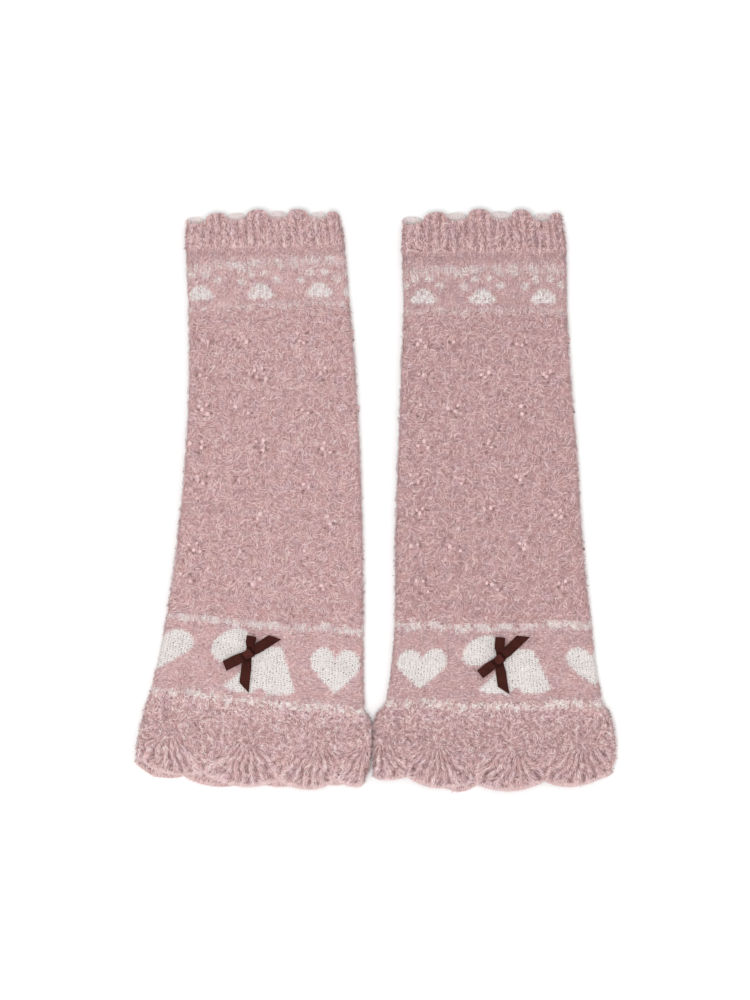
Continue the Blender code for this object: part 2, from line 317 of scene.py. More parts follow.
@dataclass(frozen=True)
class PileFinish:
    """Brushed fibres. A fibre's tint is its place across the map, and its cast its place up it."""

    name: str = "brushed_fibre"

    def material(self) -> Material:
        """Builds the node tree.

        Returns:
            The material.
        """
        sheet = NodeSheet(self.name)
        tint, cast = sheet.coordinates(UNROLLED_MAP)
        return sheet.dressed({
            "Base Color": sheet.multiplied(sheet.ramp(tint, PALETTE), sheet.ramp(cast, CASTS)),
            "Roughness": 0.85,
            "Sheen Weight": 0.3,
            "Sheen Roughness": 0.4,
            "Specular IOR Level": 0.3,
        })


# Fibre tints, from the deepest rose to cream. The last stop is the painted shade inside an eyelet.
PALETTE: list[tuple[float, Colour]] = [
    (0.00, (0.150, 0.074, 0.076)),
    (0.20, (0.415, 0.254, 0.257)),
    (0.45, (0.672, 0.466, 0.467)),
    (0.62, (0.795, 0.602, 0.598)),
    (0.75, (0.850, 0.710, 0.700)),
    (0.85, (0.815, 0.775, 0.760)),
    (0.92, (0.830, 0.800, 0.785)),
    (1.00, (0.250, 0.125, 0.112)),
]
ROSE_TINT, CREAM_TINT, HOLE_TINT = 0.48, 0.87, 0.995

# What a fibre's tint is multiplied with: mauve, rose or peach.
CASTS: list[tuple[float, Colour]] = [
    (0.0, (0.952, 0.922, 0.974)),
    (0.5, (0.985, 0.965, 0.968)),
    (1.0, (0.995, 0.990, 0.945)),
]


@dataclass(frozen=True)
class SatinFinish:
    """Woven satin ribbon: fine cross threads and a soft sheen. Its colour attribute holds painted shade and
    highlight.
    """

    name: str = "satin_ribbon"
    colour: Colour = (0.018, 0.0044, 0.0036)
    light: Colour = (0.042, 0.0106, 0.0082)
    threads: float = 900.0

    def material(self) -> Material:
        """Builds the node tree.

        Returns:
            The material.
        """
        sheet = NodeSheet(self.name)
        along, across = sheet.coordinates(UNROLLED_MAP)
        weft = sheet.maths("SINE", along * self.threads)
        warp = sheet.maths("SINE", across * (self.threads * 0.35))
        weave = weft * 0.5 + warp * 0.25
        cloudy = sheet.noise(220.0, 3.0)
        colour = sheet.ramp(cloudy + weave * 0.18, [(0.25, self.colour), (0.8, self.light)])
        # Painted shade near the knot and painted highlight on the knot, from the ribbon's colour attribute.
        shade = sheet.add("Attribute", attribute_name=DYE).outputs["Color"]
        return sheet.dressed({
            "Base Color": sheet.multiplied(colour, shade),
            "Normal": sheet.bump(weave, 0.25, 0.12 * MM),
            "Roughness": cloudy * 0.16 + 0.42,
            "Specular Tint": (1.0, 0.34, 0.28, 1),
            "Specular IOR Level": 0.24,
            "Anisotropic": 0.4,
        })


@dataclass(frozen=True)
class Ripples:
    """Smooth noise of about unit spread on a tube: a sum of sine waves in random directions."""

    length: float
    seed: int
    waves: int = 14
    round_tube: float = 240.0

    def at(self, around: Array, down: Array) -> Array:
        """The noise at places. It meets itself where the tube closes.

        Args:
            around: places round the tube, 0 to 2.
            down: distances from the cuff, metres.

        Returns:
            The values.
        """
        rng = np.random.default_rng(self.seed)
        total = np.zeros(np.broadcast(around, down).shape)
        for _ in range(self.waves):
            angle, phase = rng.uniform(0, 2 * math.pi, 2)
            pitch = self.length * rng.uniform(0.65, 1.5)
            turns = round(self.round_tube / pitch * math.cos(angle))
            rise = 2 * math.pi * math.sin(angle) / pitch
            total += np.sin(math.pi * turns * around + rise * down / MM + phase)
        return total / math.sqrt(self.waves / 2)


def mixed(ripples: tuple[tuple[float, float, int], ...], around: Array, down: Array) -> Array:
    """The sum of several ripples at places, each given by its height, length and seed."""
    return sum(height * Ripples(length, seed).at(around, down) for height, length, seed in ripples)


def smooth(value: Array) -> Array:
    """0 below 0, 1 above 1 and a smooth rise between."""
    t = np.clip(value, 0.0, 1.0)
    return t * t * (3 - 2 * t)


def bell(value: Array) -> Array:
    """1 at 0, with a smooth fall on both sides."""
    return np.exp(-(value**2))


def from_fold(around: Array) -> Array:
    """How far places are from the nearest fold, as a share of a layer's width."""
    return np.minimum(around % 1, 1 - around % 1)


@dataclass(frozen=True)
class Course:
    """One knitted row across a leg warmer: its ends and its arch toward the cuff, millimetres."""

    down: float
    left_x: float
    left_y: float
    right_x: float
    right_y: float
    arch: float


@dataclass(frozen=True)
class Swell:
    """A soft swell of the front layer, which lies loosely on the back one. Millimetres."""

    around: float
    down: float
    half_width: float
    half_length: float
    height: float


@dataclass(frozen=True)
class Drop:
    """How far the back layer's hem hangs below the front one, in all and at one place."""

    base: float
    extra: float
    around: float
    half_width: float


@dataclass(frozen=True)
class Crease:
    """A shallow crease across the cloth, between two places. Millimetres, but for around."""

    start_around: float
    start_down: float
    end_around: float
    end_down: float
    depth: float = 0.7
    width: float = 1.9

    def depth_at(self, around: Array, row: Array) -> Array:
        """How deep it is at places, millimetres.

        Args:
            around: places round the tube.
            row: their distances from the cuff, mm.

        Returns:
            Depths in mm.
        """
        share = (around - self.start_around) / (self.end_around - self.start_around)
        line = self.start_down + (self.end_down - self.start_down) * share + 1.2 * np.sin(7 * share)
        fade = smooth(share / 0.2) * smooth((1 - share) / 0.35)
        return self.depth * fade * bell((row - line) / self.width)


@dataclass(frozen=True)
class Repeats:
    """Scallops or fans round the tube, by their middles. They meet halfway between those."""

    middles: tuple[float, ...]

    def spans(self) -> list[tuple[float, float, float]]:
        """Where the repeats lie.

        Returns:
            The start, middle and end of each.
        """
        before = [self.middles[-1] - 2, *self.middles[:-1]]
        after = [*self.middles[1:], self.middles[0] + 2]
        return [((a + b) / 2, b, (b + c) / 2) for a, b, c in zip(before, self.middles, after)]

    def within(self, around: Array) -> tuple[Array, Array]:
        """Where places lie across their repeat.

        Args:
            around: the places.

        Returns:
            From -1 to 1 across the repeat, and the width of the half that each is in.
        """
        across = np.zeros_like(around)
        half = np.ones_like(around)
        for start, middle, end in self.spans():
            at = start + (around - start) % 2
            inside = at <= end
            width = np.where(at < middle, middle - start, end - middle)
            across = np.where(inside, (at - middle) / width, across)
            half = np.where(inside, width, half)
        return across, half


@dataclass(frozen=True)
class PressedTube:
    """The form of one leg warmer: a knitted tube pressed flat, on which places are worked out.

    Around runs from 0 at the left fold across the front to 1 at the right fold, and back
    underneath to 2. Down is the distance from the tips of the cuff, in metres.
    """

    courses: tuple[Course, ...]
    scallops: Repeats
    fans: Repeats
    drop: Drop
    swells: tuple[Swell, ...]
    creases: tuple[Crease, ...]

    def row(self, down: Array) -> tuple[Array, Array, Array]:
        """The row at a distance down the cloth, on the smooth curves through the courses.

        Args:
            down: distances.

        Returns:
            Its left and right ends, n by 2, and its arch.
        """
        at = np.array([c.down for c in self.courses]) * MM
        last = len(at) - 1
        i = np.clip(np.searchsorted(at, down, side="right") - 1, 0, last - 1)
        span = at[i + 1] - at[i]
        t = (down - at[i]) / span
        over = down > at[last]
        columns = []
        for name in ("left_x", "left_y", "right_x", "right_y", "arch"):
            value = np.array([getattr(c, name) for c in self.courses]) * MM
            hi, lo = np.minimum(np.arange(last + 1) + 1, last), np.maximum(np.arange(last + 1) - 1, 0)
            slope = (value[hi] - value[lo]) / (at[hi] - at[lo])
            curve = (
                (2 * t**3 - 3 * t**2 + 1) * value[i]
                + (t**3 - 2 * t**2 + t) * span * slope[i]
                + (3 * t**2 - 2 * t**3) * value[i + 1]
                + (t**3 - t**2) * span * slope[i + 1]
            )
            columns.append(np.where(over, value[last] + slope[last] * (down - at[last]), curve))
        return np.stack(columns[:2], -1), np.stack(columns[2:4], -1), columns[4]

    def layer_length(self, down: Array) -> Array:
        """How wide one layer's cloth is at a distance down, folds included."""
        left, right, _ = self.row(down)
        return np.linalg.norm(right - left, axis=-1) - 2 * FOLD_RADIUS + math.pi * FOLD_RADIUS

    def point(self, around: Array, down: Array, depth: Array, lift: Array) -> Array:
        """Points of the cloth.

        Args:
            around: places round the tube.
            down: distances from the cuff.
            depth: how far each lies in the wall, from its outer skin.
            lift: how far the front layer is raised there.

        Returns:
            The points, n by 3.
        """
        around, down, depth, lift = np.broadcast_arrays(around, down, depth, lift)
        left, right, arch = self.row(down)
        half = np.linalg.norm(right - left, axis=-1) / 2
        radius = FOLD_RADIUS - depth
        around = around % 2
        front = around <= 1
        flat = half - FOLD_RADIUS
        length = 2 * flat + math.pi * FOLD_RADIUS
        run = np.where(front, around, around - 1) * length
        quarter = math.pi * FOLD_RADIUS / 2
        near = run < quarter
        far = run > length - quarter
        angle = np.where(near, math.pi - run / FOLD_RADIUS, (length - run) / FOLD_RADIUS)
        turned = near | far
        side = np.where(near, -flat, flat)
        across = np.where(turned, side + radius * np.cos(angle), run - quarter - flat)
        up = np.where(turned, np.sin(angle), 1.0)
        topness = np.where(front, up, 0.0)
        across = np.where(front, across, -across)
        height = np.where(front, radius * up, -radius * up)
        share = across / half
        to_fold = np.maximum(0.0, half - FOLD_RADIUS - np.abs(across))
        raised = lift + FOLD_PUFF * bell(to_fold / FOLD_PUFF_REACH)
        for swell in self.swells:
            off = (around - swell.around) / swell.half_width
            away = (down / MM - swell.down) / swell.half_length
            raised = raised + swell.height * MM * bell(off) * bell(away)
        xy = (left + right) / 2 + (right - left) / 2 * share[..., None]
        y = xy[..., 1] + arch * (1 - share**2)
        z = FOLD_RADIUS + height + topness * raised
        return np.stack([xy[..., 0], y, z], -1) - FOOTPRINT_MIDDLE

    def cuff_lobe(self, around: Array) -> Array:
        """1 at the tip of a cuff scallop, 0 between two."""
        wave = np.cos(math.pi * self.scallops.within(around)[0])
        return 0.5 + 0.5 * np.sign(wave) * np.abs(wave) ** 0.45

    def cuff_lowered(self, around: Array) -> Array:
        """How far the back layer's cuff ends below the front one, fading out at the folds."""
        around = around % 2
        return CUFF_BACK_LOWER * smooth(np.minimum(around - 1, 2 - around) / 0.1)

    def hem_lobe(self, around: Array) -> Array:
        """1 at the middle of a hem fan, 0 at the notch between two."""
        return np.abs(np.cos(math.pi / 2 * self.fans.within(around)[0])) ** 0.75

    def back_drop(self, around: Array) -> Array:
        """How far the back layer's hem hangs below the front one, fading out at the folds.

        Args:
            around: places round the tube.

        Returns:
            Distances in metres.
        """
        around = around % 2
        off = (around - self.drop.around) / self.drop.half_width
        hang = (self.drop.base + self.drop.extra * bell(off)) * MM
        return np.where(around > 1, hang * smooth(from_fold(around) / 0.1), 0.0)


class Stretch(Enum):
    """The knitted stretches of a tube, from the cuff down."""

    CUFF = "cuff"
    PAW_BAND = "paw_band"
    LEG = "leg"
    HEART_BAND = "heart_band"
    HEM = "hem"


@dataclass(frozen=True)
class Motif:
    """One colourwork figure, at its middle on the cloth."""

    kind: str
    around: float
    down: float
    tall: float = 1.0
    wide: float = 1.0

    def share(self, x: Array, y: Array) -> Array:
        """How much of the cloth is in it at places, 0 to 1, with an edge about a stitch wide.

        Args:
            x: places to the right of its middle, mm.
            y: places above it, mm.

        Returns:
            The shares.
        """
        figure = FIGURES[self.kind]
        spread = ((0.0, 0.0), (0.75, 0.0), (-0.75, 0.0), (0.0, 0.75), (0.0, -0.75))
        x, y = x / self.wide, y / self.tall
        return sum(figure(x + dx, y + dy) * 1.0 for dx, dy in spread) / len(spread)


def ellipse(x: Array, y: Array, cx: float, cy: float, rx: float, ry: float, turn: float = 0.0) -> Array:
    """Whether places lie in a turned ellipse. Millimetres and degrees.

    Args:
        x: places to the right of a figure's middle.
        y: places above it.
        cx: how far right the ellipse's middle is.
        cy: how far up it is.
        rx: half the ellipse's width.
        ry: half its height.
        turn: how far it is turned left.

    Returns:
        Whether each lies in it.
    """
    c, s = math.cos(math.radians(turn)), math.sin(math.radians(turn))
    u = (x - cx) * c + (y - cy) * s
    v = (y - cy) * c - (x - cx) * s
    return (u / rx) ** 2 + (v / ry) ** 2 < 1


def heart(x: Array, y: Array) -> Array:
    """A heart, 35 mm wide and 28 mm high.

    Args:
        x: places to the right of its middle, mm.
        y: places above it, mm.

    Returns:
        Whether each lies in it.
    """
    lobes = ellipse(x, y, -8.7, 4.6, 8.8, 8.9, 12) | ellipse(x, y, 8.7, 4.6, 8.8, 8.9, -12)
    drop = np.clip((4.0 - y) / 19.0, 0, 1)
    return lobes | ((y <= 4.0) & (y > -15.0) & (np.abs(x) < 17.3 * (1 - drop**1.45)))


def paw(x: Array, y: Array) -> Array:
    """A paw print: a rounded pad and four toes over it.

    Args:
        x: places to the right of its middle, mm.
        y: places above it, mm.

    Returns:
        Whether each lies in it.
    """
    pad = [(0, 1.0, 6.4, 4.6), (-4.2, -1.8, 5.2, 3.4), (4.2, -1.8, 5.2, 3.4)]
    toes = [(*at, 3.0, 2.6) for at in ((-12.6, 7.6), (-5.4, 12.4), (4.6, 13.0), (12.4, 8.2))]
    return np.any([ellipse(x, y, *oval) for oval in pad + toes], axis=0)


def animal(x: Array, y: Array) -> Array:
    """A small animal that sits and faces left, of plain rounded shapes.

    Args:
        x: places to the right of its middle, mm.
        y: places above it, mm.

    Returns:
        Whether each lies in it.
    """
    head = ellipse(x, y, -16.5, 10.6, 14.2, 9.2, 33)
    neck = ellipse(x, y, -1.0, 7.0, 9.0, 6.5, -10)
    left = -3.0 - 14.0 * np.clip((8.0 - y) / 23.0, 0, 1.05) ** 2.2
    right = 19.5 + 0.44 * (12.0 - y)
    base = -20.0 + 3.0 * np.abs((x - 7.0) / 25.0) ** 5
    body = (x > left) & (x < right) & (y > base) & (y < 11.5 - 0.05 * np.abs(x - 14))
    return (head | neck | body) & ~ellipse(x, y, 7.5, -21.0, 5.5, 4.5)


FIGURES: dict[str, Callable[[Array, Array], Array]] = {"heart": heart, "paw": paw, "animal": animal}


@dataclass(frozen=True)
class Line:
    """A broken line of cream stitches round the tube: its distance from the cuff in mm at the left
    fold, the middle and the right fold, half its width, how pale it is at most and how worn."""

    left: float
    middle: float
    right: float
    half: float
    peak: float
    worn: float

    def share(self, around: Array, row: Array, seed: int) -> Array:
        """How much of the cloth is cream at places, 0 to 1.

        Args:
            around: places round the tube.
            row: their distances from the cuff, mm.
            seed: the seed of its breaks.

        Returns:
            The shares.
        """
        front = np.minimum(around % 2, 2 - around % 2)
        at = np.interp(front, (0, 0.5, 1), (self.left, self.middle, self.right))
        at = at + 0.7 * np.sin(7 * math.pi * around) + 0.5 * np.sin(17 * math.pi * around + 1)
        strokes = Ripples(2.4, seed).at(around, 0.3 * MM * row)
        broken = Ripples(9.0, seed + 1).at(around, 0.4 * MM * row)
        edge = (self.half + 0.70 * strokes + 0.45 * broken - np.abs(row - at)) / 1.8 + 0.5
        whole = 1 - self.worn * smooth(0.4 - 0.5 * broken - 0.2 * strokes)
        return self.peak * smooth(edge) * whole * (0.9 + 0.1 * np.clip(strokes, -2, 1))


@dataclass(frozen=True)
class Colourwork:
    """The charted bands: how much of each stitch is cream."""

    motifs: tuple[Motif, ...]
    lines: tuple[Line, ...]

    def cream(self, around: Array, down: Array, layer_length: Array) -> Array:
        """Looks stitches up in the chart.

        Args:
            around: the stitches' places round the tube.
            down: their distances from the cuff, metres.
            layer_length: how wide a layer is there, metres.

        Returns:
            How much of each is cream, 0 to 1.
        """
        share = np.zeros(around.shape)
        row = down / MM
        fray = Ripples(3.0, 71).at(around, down)
        worn = Ripples(5.0, 72).at(around, down)
        for motif in self.motifs:
            off = (around - motif.around + 1) % 2 - 1
            x, y = off * layer_length / MM + 0.35 * fray, motif.down - row + 0.4 * fray
            full = motif.share(x, y)
            if motif.kind == "paw":
                full *= np.where(y < 6, 0.82, 0.62) + 0.15 * np.clip(worn + 0.6 * fray, -2, 1.2)
            share = np.maximum(share, full)
        for number, line in enumerate(self.lines):
            share = np.maximum(share, line.share(around, row, 74 + 2 * number))
        return np.clip(share, 0, 1)


@dataclass(frozen=True)
class Rays:
    """The ridges that fan out over each hem scallop, and the cords that rise between two fans.

    The reach is from the point that a fan's rays leave to its edge, the step is from ray to ray and
    the widest is the last ray's angle. Cords start and end over the edge. Millimetres and radians.
    """

    tube: PressedTube
    reach: float = 36.0
    step: float = math.radians(13.6)
    widest: float = math.radians(60.0)
    cords_start: float = 4.5
    cords_end: float = 27.0

    def at(self, around: Array, down: Array) -> tuple[Array, Array, Array]:
        """The rays at places.

        Args:
            around: places round the tube.
            down: distances from the cuff, metres.

        Returns:
            The way out from the point, in radians from straight down, the height of the ridge, 0 to
            1, and how plain the ridges are there, 0 to 1.
        """
        across, half = self.tube.fans.within(around)
        u = across * half * self.tube.layer_length(down) / MM
        v = down / MM - (self.tube.courses[-1].down - self.reach)
        angle = np.arctan2(u, np.maximum(v, 1e-3))
        away = np.hypot(u, v)
        plain = smooth((away - 5) / 8) * smooth((self.widest - np.abs(angle)) / 0.25) * smooth(v / 3)
        turned = angle + 0.035 * Ripples(17, 41).at(around, down)
        ridge = 0.5 + 0.5 * np.cos(2 * math.pi * turned / self.step)
        return angle, ridge, plain * (0.85 + 0.15 * np.clip(Ripples(14, 42).at(around, down), -1, 1))

    def cords(self, around: Array, down: Array) -> Array:
        """The height of the two pale cords that rise from each notch between fans, 0 to 1.

        Args:
            around: places round the tube.
            down: distances from the cuff, metres.

        Returns:
            The heights.
        """
        across, half = self.tube.fans.within(around)
        u = (1 - np.abs(across)) * half * self.tube.layer_length(down) / MM
        over = self.tube.courses[-1].down - self.cords_start - down / MM
        cord = bell((u - 1.2 - 0.10 * np.maximum(over, 0)) / 0.95)
        return cord * smooth((self.cords_end - over) / 12)


@dataclass(frozen=True)
class Plan:
    """How a stretch is made: its first and last course, its rows of faces outside and inside, its
    columns of faces and its columns of stitches."""

    first: int
    last: int
    outer: int
    inner: int
    columns: int
    wales: int


@dataclass(frozen=True)
class Ridge:
    """A ridge round the tube, or below 0 a groove: its row and half width in mm, and its height."""

    row: float
    width: float
    height: float

    def at(self, row: Array) -> Array:
        """How high it is at rows."""
        return self.height * bell((row - self.row) / self.width)


class KnitWall:
    """One stretch of a tube as a thin wall: its outer skin, its rims and a coarser inner skin."""

    PLANS = {
        Stretch.CUFF: Plan(0, 1, 24, 6, 264, 120),
        Stretch.PAW_BAND: Plan(1, 2, 28, 2, 224, 112),
        Stretch.LEG: Plan(2, 6, 84, 8, 200, 120),
        Stretch.HEART_BAND: Plan(6, 7, 42, 3, 288, 144),
        Stretch.HEM: Plan(7, 10, 50, 10, 352, 168),
    }
    COURSE_PITCH = 1.5 * MM
    # The seam under the cuff, in the cloth's form (mm), and as painted highlight on its ridge and painted
    # shade in the groove below.
    SEAM_RELIEF = (Ridge(22.4, 1.5, 0.5), Ridge(28.0, 1.8, -0.45))
    SEAM_LIGHT = (Ridge(22.0, 1.1, 0.10), Ridge(26.8, 2.4, -0.13))
    # Ripples by height, length and seed: lumps in the cloth, in mm, and the uneven dye of the yarn.
    LUMPS = ((0.10, 5.5, 3), (0.09, 2.6, 4))
    HEATHER = ((0.06, 3.2, 11), (0.035, 16.0, 12))
    CAST = np.array((0.006, -0.003, -0.009))
    # How high each kind of relief stands, in mm.
    RIB_HEIGHT, RAY_HEIGHT, CORD_HEIGHT, RIM_HEIGHT = 1.1, 1.5, 0.7, 0.30
    PUCKER_HEIGHT, PUCKERS_FROM = 0.35, 349.0
    # The soft waves down the heart band: their height and pitch in mm, and how far they wander.
    WAVE_HEIGHT, WAVE_PITCH, WAVE_WANDER = 0.21, 3.9, 1.6
    # How much lighter the ribs and rays are painted than the hollows between them, as painted highlight and
    # painted shade, and how much lighter the cords are.
    RIB_LIGHT, RAY_LIGHT, CORD_LIGHT = 0.38, 0.55, 0.35

    def __init__(self, tube: PressedTube, stretch: Stretch, chart: Colourwork, tone: float) -> None:
        """Sets out one stretch.

        Args:
            tube: the form of the leg warmer.
            stretch: which stretch of it.
            chart: the colourwork.
            tone: how light the whole stretch is, against the palette.
        """
        self.tube, self.stretch, self.chart, self.tone = tube, stretch, chart, tone
        self.rays = Rays(tube)
        self.plan = self.PLANS[stretch]
        self.top = tube.courses[self.plan.first].down * MM
        self.base = tube.courses[self.plan.last].down * MM

    def down_at(self, around: Array, along: Array) -> Array:
        """The distance from the cuff of places down the stretch, whose free edge is scalloped.

        Args:
            around: places round the tube.
            along: 0 at the stretch's top, 1 at its base.

        Returns:
            Distances in metres.
        """
        tube, start, end = self.tube, self.top, self.base
        if self.stretch is Stretch.CUFF:
            start = CUFF_SCALLOP * (1 - tube.cuff_lobe(around)) + tube.cuff_lowered(around)
        if self.stretch is Stretch.HEM:
            end = end - HEM_SCALLOP * (1 - tube.hem_lobe(around)) + tube.back_drop(around)
        return start + (end - start) * along

    def seam(self, down: Array) -> Array:
        """Painted highlight on the seam's ridge under the cuff, and painted shade in the groove below it."""
        return sum(ridge.at(down / MM) for ridge in self.SEAM_LIGHT)

    def rib(self, around: Array) -> Array:
        """How high a rib of the cuff stands at places, 0 to 1."""
        across = self.tube.scallops.within(around)[0]
        return 0.5 - 0.5 * np.cos(math.pi * RIBS_A_SCALLOP * (across + 1))

    def relief(self, around: Array, along: Array, down: Array) -> Array:
        """How far the outer skin stands out with its ribs, rays, ridges, creases and lumps.

        Args:
            around: places round the tube.
            along: their places down the stretch.
            down: their distances from the cuff.

        Returns:
            Heights in metres.
        """
        row = down / MM
        raised = mixed(self.LUMPS, around, down) + sum(ridge.at(row) for ridge in self.SEAM_RELIEF)
        raised = raised - sum(crease.depth_at(around, row) for crease in self.tube.creases)
        if self.stretch is Stretch.HEART_BAND:
            wander = self.WAVE_WANDER * Ripples(18, 6).at(around, down)
            raised = raised + self.WAVE_HEIGHT * np.sin(2 * math.pi * row / self.WAVE_PITCH + wander)
        if self.stretch is Stretch.CUFF:
            raised = raised + self.RIB_HEIGHT * (self.rib(around) - 0.45) * smooth((1 - along) * 4)
        if self.stretch is Stretch.HEM:
            _, ridge, plain = self.rays.at(around, down)
            raised = raised + self.RAY_HEIGHT * (ridge - 0.5) * plain
            raised = raised + self.RIM_HEIGHT * bell((0.98 - along) / 0.03)
            raised = raised + self.CORD_HEIGHT * self.rays.cords(around, down)
            puckers = Ripples(4.2, 5).at(around, down) * (1 - plain)
            raised = raised + self.PUCKER_HEIGHT * puckers * smooth((row - self.PUCKERS_FROM) / 4)
        return raised * MM

    def place(self, around: Array, along: Array, depth: Array) -> Array:
        """Points of the wall.

        Args:
            around: places round the tube.
            along: 0 at the stretch's top, 1 at its base.
            depth: distance into the wall from the solid's skin.

        Returns:
            The points, n by 3.
        """
        down = self.down_at(around, along)
        lift = 0.0
        if self.stretch is Stretch.CUFF:
            lift = CUFF_FLUTE * self.tube.cuff_lobe(around) * (1 - along)
        if self.stretch is Stretch.HEM:
            lift = HEM_DOME * self.tube.hem_lobe(around) * smooth(along)
        outer = np.clip(1 - (depth - SKIN_DEPTH) / SKIN_WALL, 0, 1)
        depth = depth - outer * self.relief(around, along, down)
        points = self.tube.point(around, down, np.clip(depth, -0.9 * MM, WALL), lift)
        points[..., 2] = np.maximum(points[..., 2], 0.02 * MM)
        return points

    def dyes(self, around: Array, along: Array, outer: Array) -> Array:
        """The yarn colour of stitches, with painted highlight and shade on the seam, the cuff's ribs and the
        hem's rays.

        Args:
            around: their places.
            along: their places down the stretch.
            outer: whether each is on the outer skin.

        Returns:
            Colours, n by 4, the last of them how much of each stitch is cream.
        """
        down = self.down_at(around, along)
        band = self.stretch in (Stretch.PAW_BAND, Stretch.HEART_BAND)
        heather = mixed(self.HEATHER, around, down)
        cast = Ripples(11, 13).at(around, down)[..., None] * self.CAST
        colour = ((Dye.BAND_ROSE if band else Dye.ROSE).value + cast) * (1 + heather)[..., None]
        pale = rim = np.zeros_like(along)
        if self.stretch is not Stretch.CUFF:
            pale = self.chart.cream(around, down, self.tube.layer_length(down)) * outer
            cream = np.array(Dye.CREAM.value) * (1 + 0.5 * heather)[..., None]
            colour = colour + (cream - colour) * pale[..., None]
        # Painted highlight on the seam's ridge and painted shade in the groove below it.
        colour = colour * (1 + self.seam(down))[..., None]
        if self.stretch is Stretch.CUFF:
            front = around % 2 <= 1
            # Painted highlight on the cuff's ribs and painted shade in the hollows between them.
            shade = (0.80 + self.RIB_LIGHT * self.rib(around))[..., None]
            lined = ~outer | (~front & (along < 0.12))
            colour = np.where(lined[..., None], Dye.LINING.value, colour * shade)
            rim = 0.5 * smooth((0.08 - along) / 0.06) * front
        if self.stretch is Stretch.HEM:
            _, ridge, plain = self.rays.at(around, down)
            # Painted highlight on the ray ridges and painted shade in the grooves between them; the cords
            # are paler.
            light = 1 + self.RAY_LIGHT * plain * (ridge - 0.5)
            light = light + self.CORD_LIGHT * self.rays.cords(around, down)
            colour = (colour + 0.12 * (np.array(Dye.RIM.value) - colour)) * light[..., None]
            # The hem's inside is painted lighter, in band rose, as painted light against the shade under the
            # front lip.
            colour = np.where(outer[..., None], colour, Dye.BAND_ROSE.value)
            rim = smooth((along - 0.955 + 0.012 * Ripples(5, 14).at(around, down)) / 0.025)
        colour = colour + (np.array(Dye.RIM.value) - colour) * rim[..., None]
        tone = self.tone + (1 - self.tone) * pale
        return np.concatenate([colour * tone[..., None], pale[..., None]], -1)

    def build(self, name: str, material: Material) -> Piece:
        """Makes the wall from a grid that is rolled up both ways, round the tube and through it.

        Args:
            name: the piece's name.
            material: its finish.

        Returns:
            The piece.
        """
        n, m, k = self.plan.columns, self.plan.outer, self.plan.inner
        places = np.linspace(0, 2, n + 1)
        shares = [0.0] * (m + 1) + [1.0] * (k + 1) + [0.0]
        down_rows, back_rows = list(np.linspace(0, 1, m + 1)), list(np.linspace(1, 0, k + 1))
        along = np.array(down_rows + back_rows + [0.0])
        if self.stretch is Stretch.HEM:
            along = np.array(down_rows + [1.006, 1.006] + back_rows + [0.0])
            shares = shares[: m + 1] + [0.25, 0.75] + shares[m + 1 :]
        if self.stretch is Stretch.CUFF:
            along = np.array(down_rows + back_rows + [-0.014, -0.014, 0.0])
            shares = shares[:-1] + [0.75, 0.25, 0.0]
        depth = SKIN_DEPTH + SKIN_WALL * np.array(shares)
        grid = bmesh.new()
        bmesh.ops.create_grid(grid, x_segments=n, y_segments=len(along) - 1, size=0.5)
        mesh = finished(grid, name)
        where = np.empty(3 * len(mesh.vertices))
        mesh.vertices.foreach_get("co", where)
        where = where.reshape(-1, 3)
        column = np.rint((where[:, 0] + 0.5) * n).astype(int)
        row = np.rint((0.5 - where[:, 1]) * (len(along) - 1)).astype(int)
        points = self.place(places[column], along[row], depth[row])
        mesh.vertices.foreach_set("co", points.ravel())
        self.paint(mesh, places, along, depth, column, row)
        return dressed(name, closed(mesh), material)

    def paint(self, mesh: Mesh, places: Array, along: Array, depth: Array, column: Array,
              row: Array) -> None:
        """Writes the stitch map, the unrolled map and the dye, with its painted highlight and shade, of each
        face's corners.

        Args:
            mesh: the unrolled grid, with its points placed.
            places: the columns' places round the tube.
            along: the rows' places down the stretch.
            depth: the rows' depths in the wall.
            column: each vertex's column.
            row: each vertex's row.
        """
        corner = np.empty(len(mesh.loops), int)
        mesh.loops.foreach_get("vertex_index", corner)
        col, rw = column[corner], row[corner]
        down = self.down_at(places[col], along[rw])
        stitch = np.stack([places[col] / 2 * self.plan.wales, -down / self.COURSE_PITCH], -1)
        share = np.stack([col / (len(places) - 1), 1 - rw / (len(along) - 1)], -1)
        for layer, uv in ((STITCH_MAP, stitch), (UNROLLED_MAP, share)):
            mesh.uv_layers.new(name=layer).data.foreach_set("uv", uv.ravel())
        low_col, low_row = col.reshape(-1, 4).min(1), rw.reshape(-1, 4).min(1)
        mid = (places[low_col] + places[low_col + 1]) / 2
        step = (along[low_row] + along[np.minimum(low_row + 1, len(along) - 1)]) / 2
        outer = depth[low_row] < WALL / 2
        colour = np.repeat(self.dyes(mid, step, outer), 4, 0)
        dye = mesh.color_attributes.new(name=DYE, type="FLOAT_COLOR", domain="CORNER")
        dye.data.foreach_set("color", colour.ravel())

    def cut(self) -> tuple[tuple[float, float], float]:
        """The flat cut of this stretch all round the tube.

        Returns:
            Its greatest width and length, and its area, in metres.
        """
        length = self.base - self.top
        round_it = 2 * self.tube.layer_length(np.linspace(self.top, self.base, 60))
        return (float(round_it.max()), length), float(np.mean(round_it)) * length


def finished(work: Work, name: str) -> Mesh:
    """Turns a working mesh into a smooth named one, and frees it.

    Args:
        work: the working mesh.
        name: the new mesh's name.

    Returns:
        The new mesh.
    """
    mesh = bpy.data.meshes.new(name)
    work.to_mesh(mesh)
    work.free()
    mesh.shade_smooth()
    return mesh


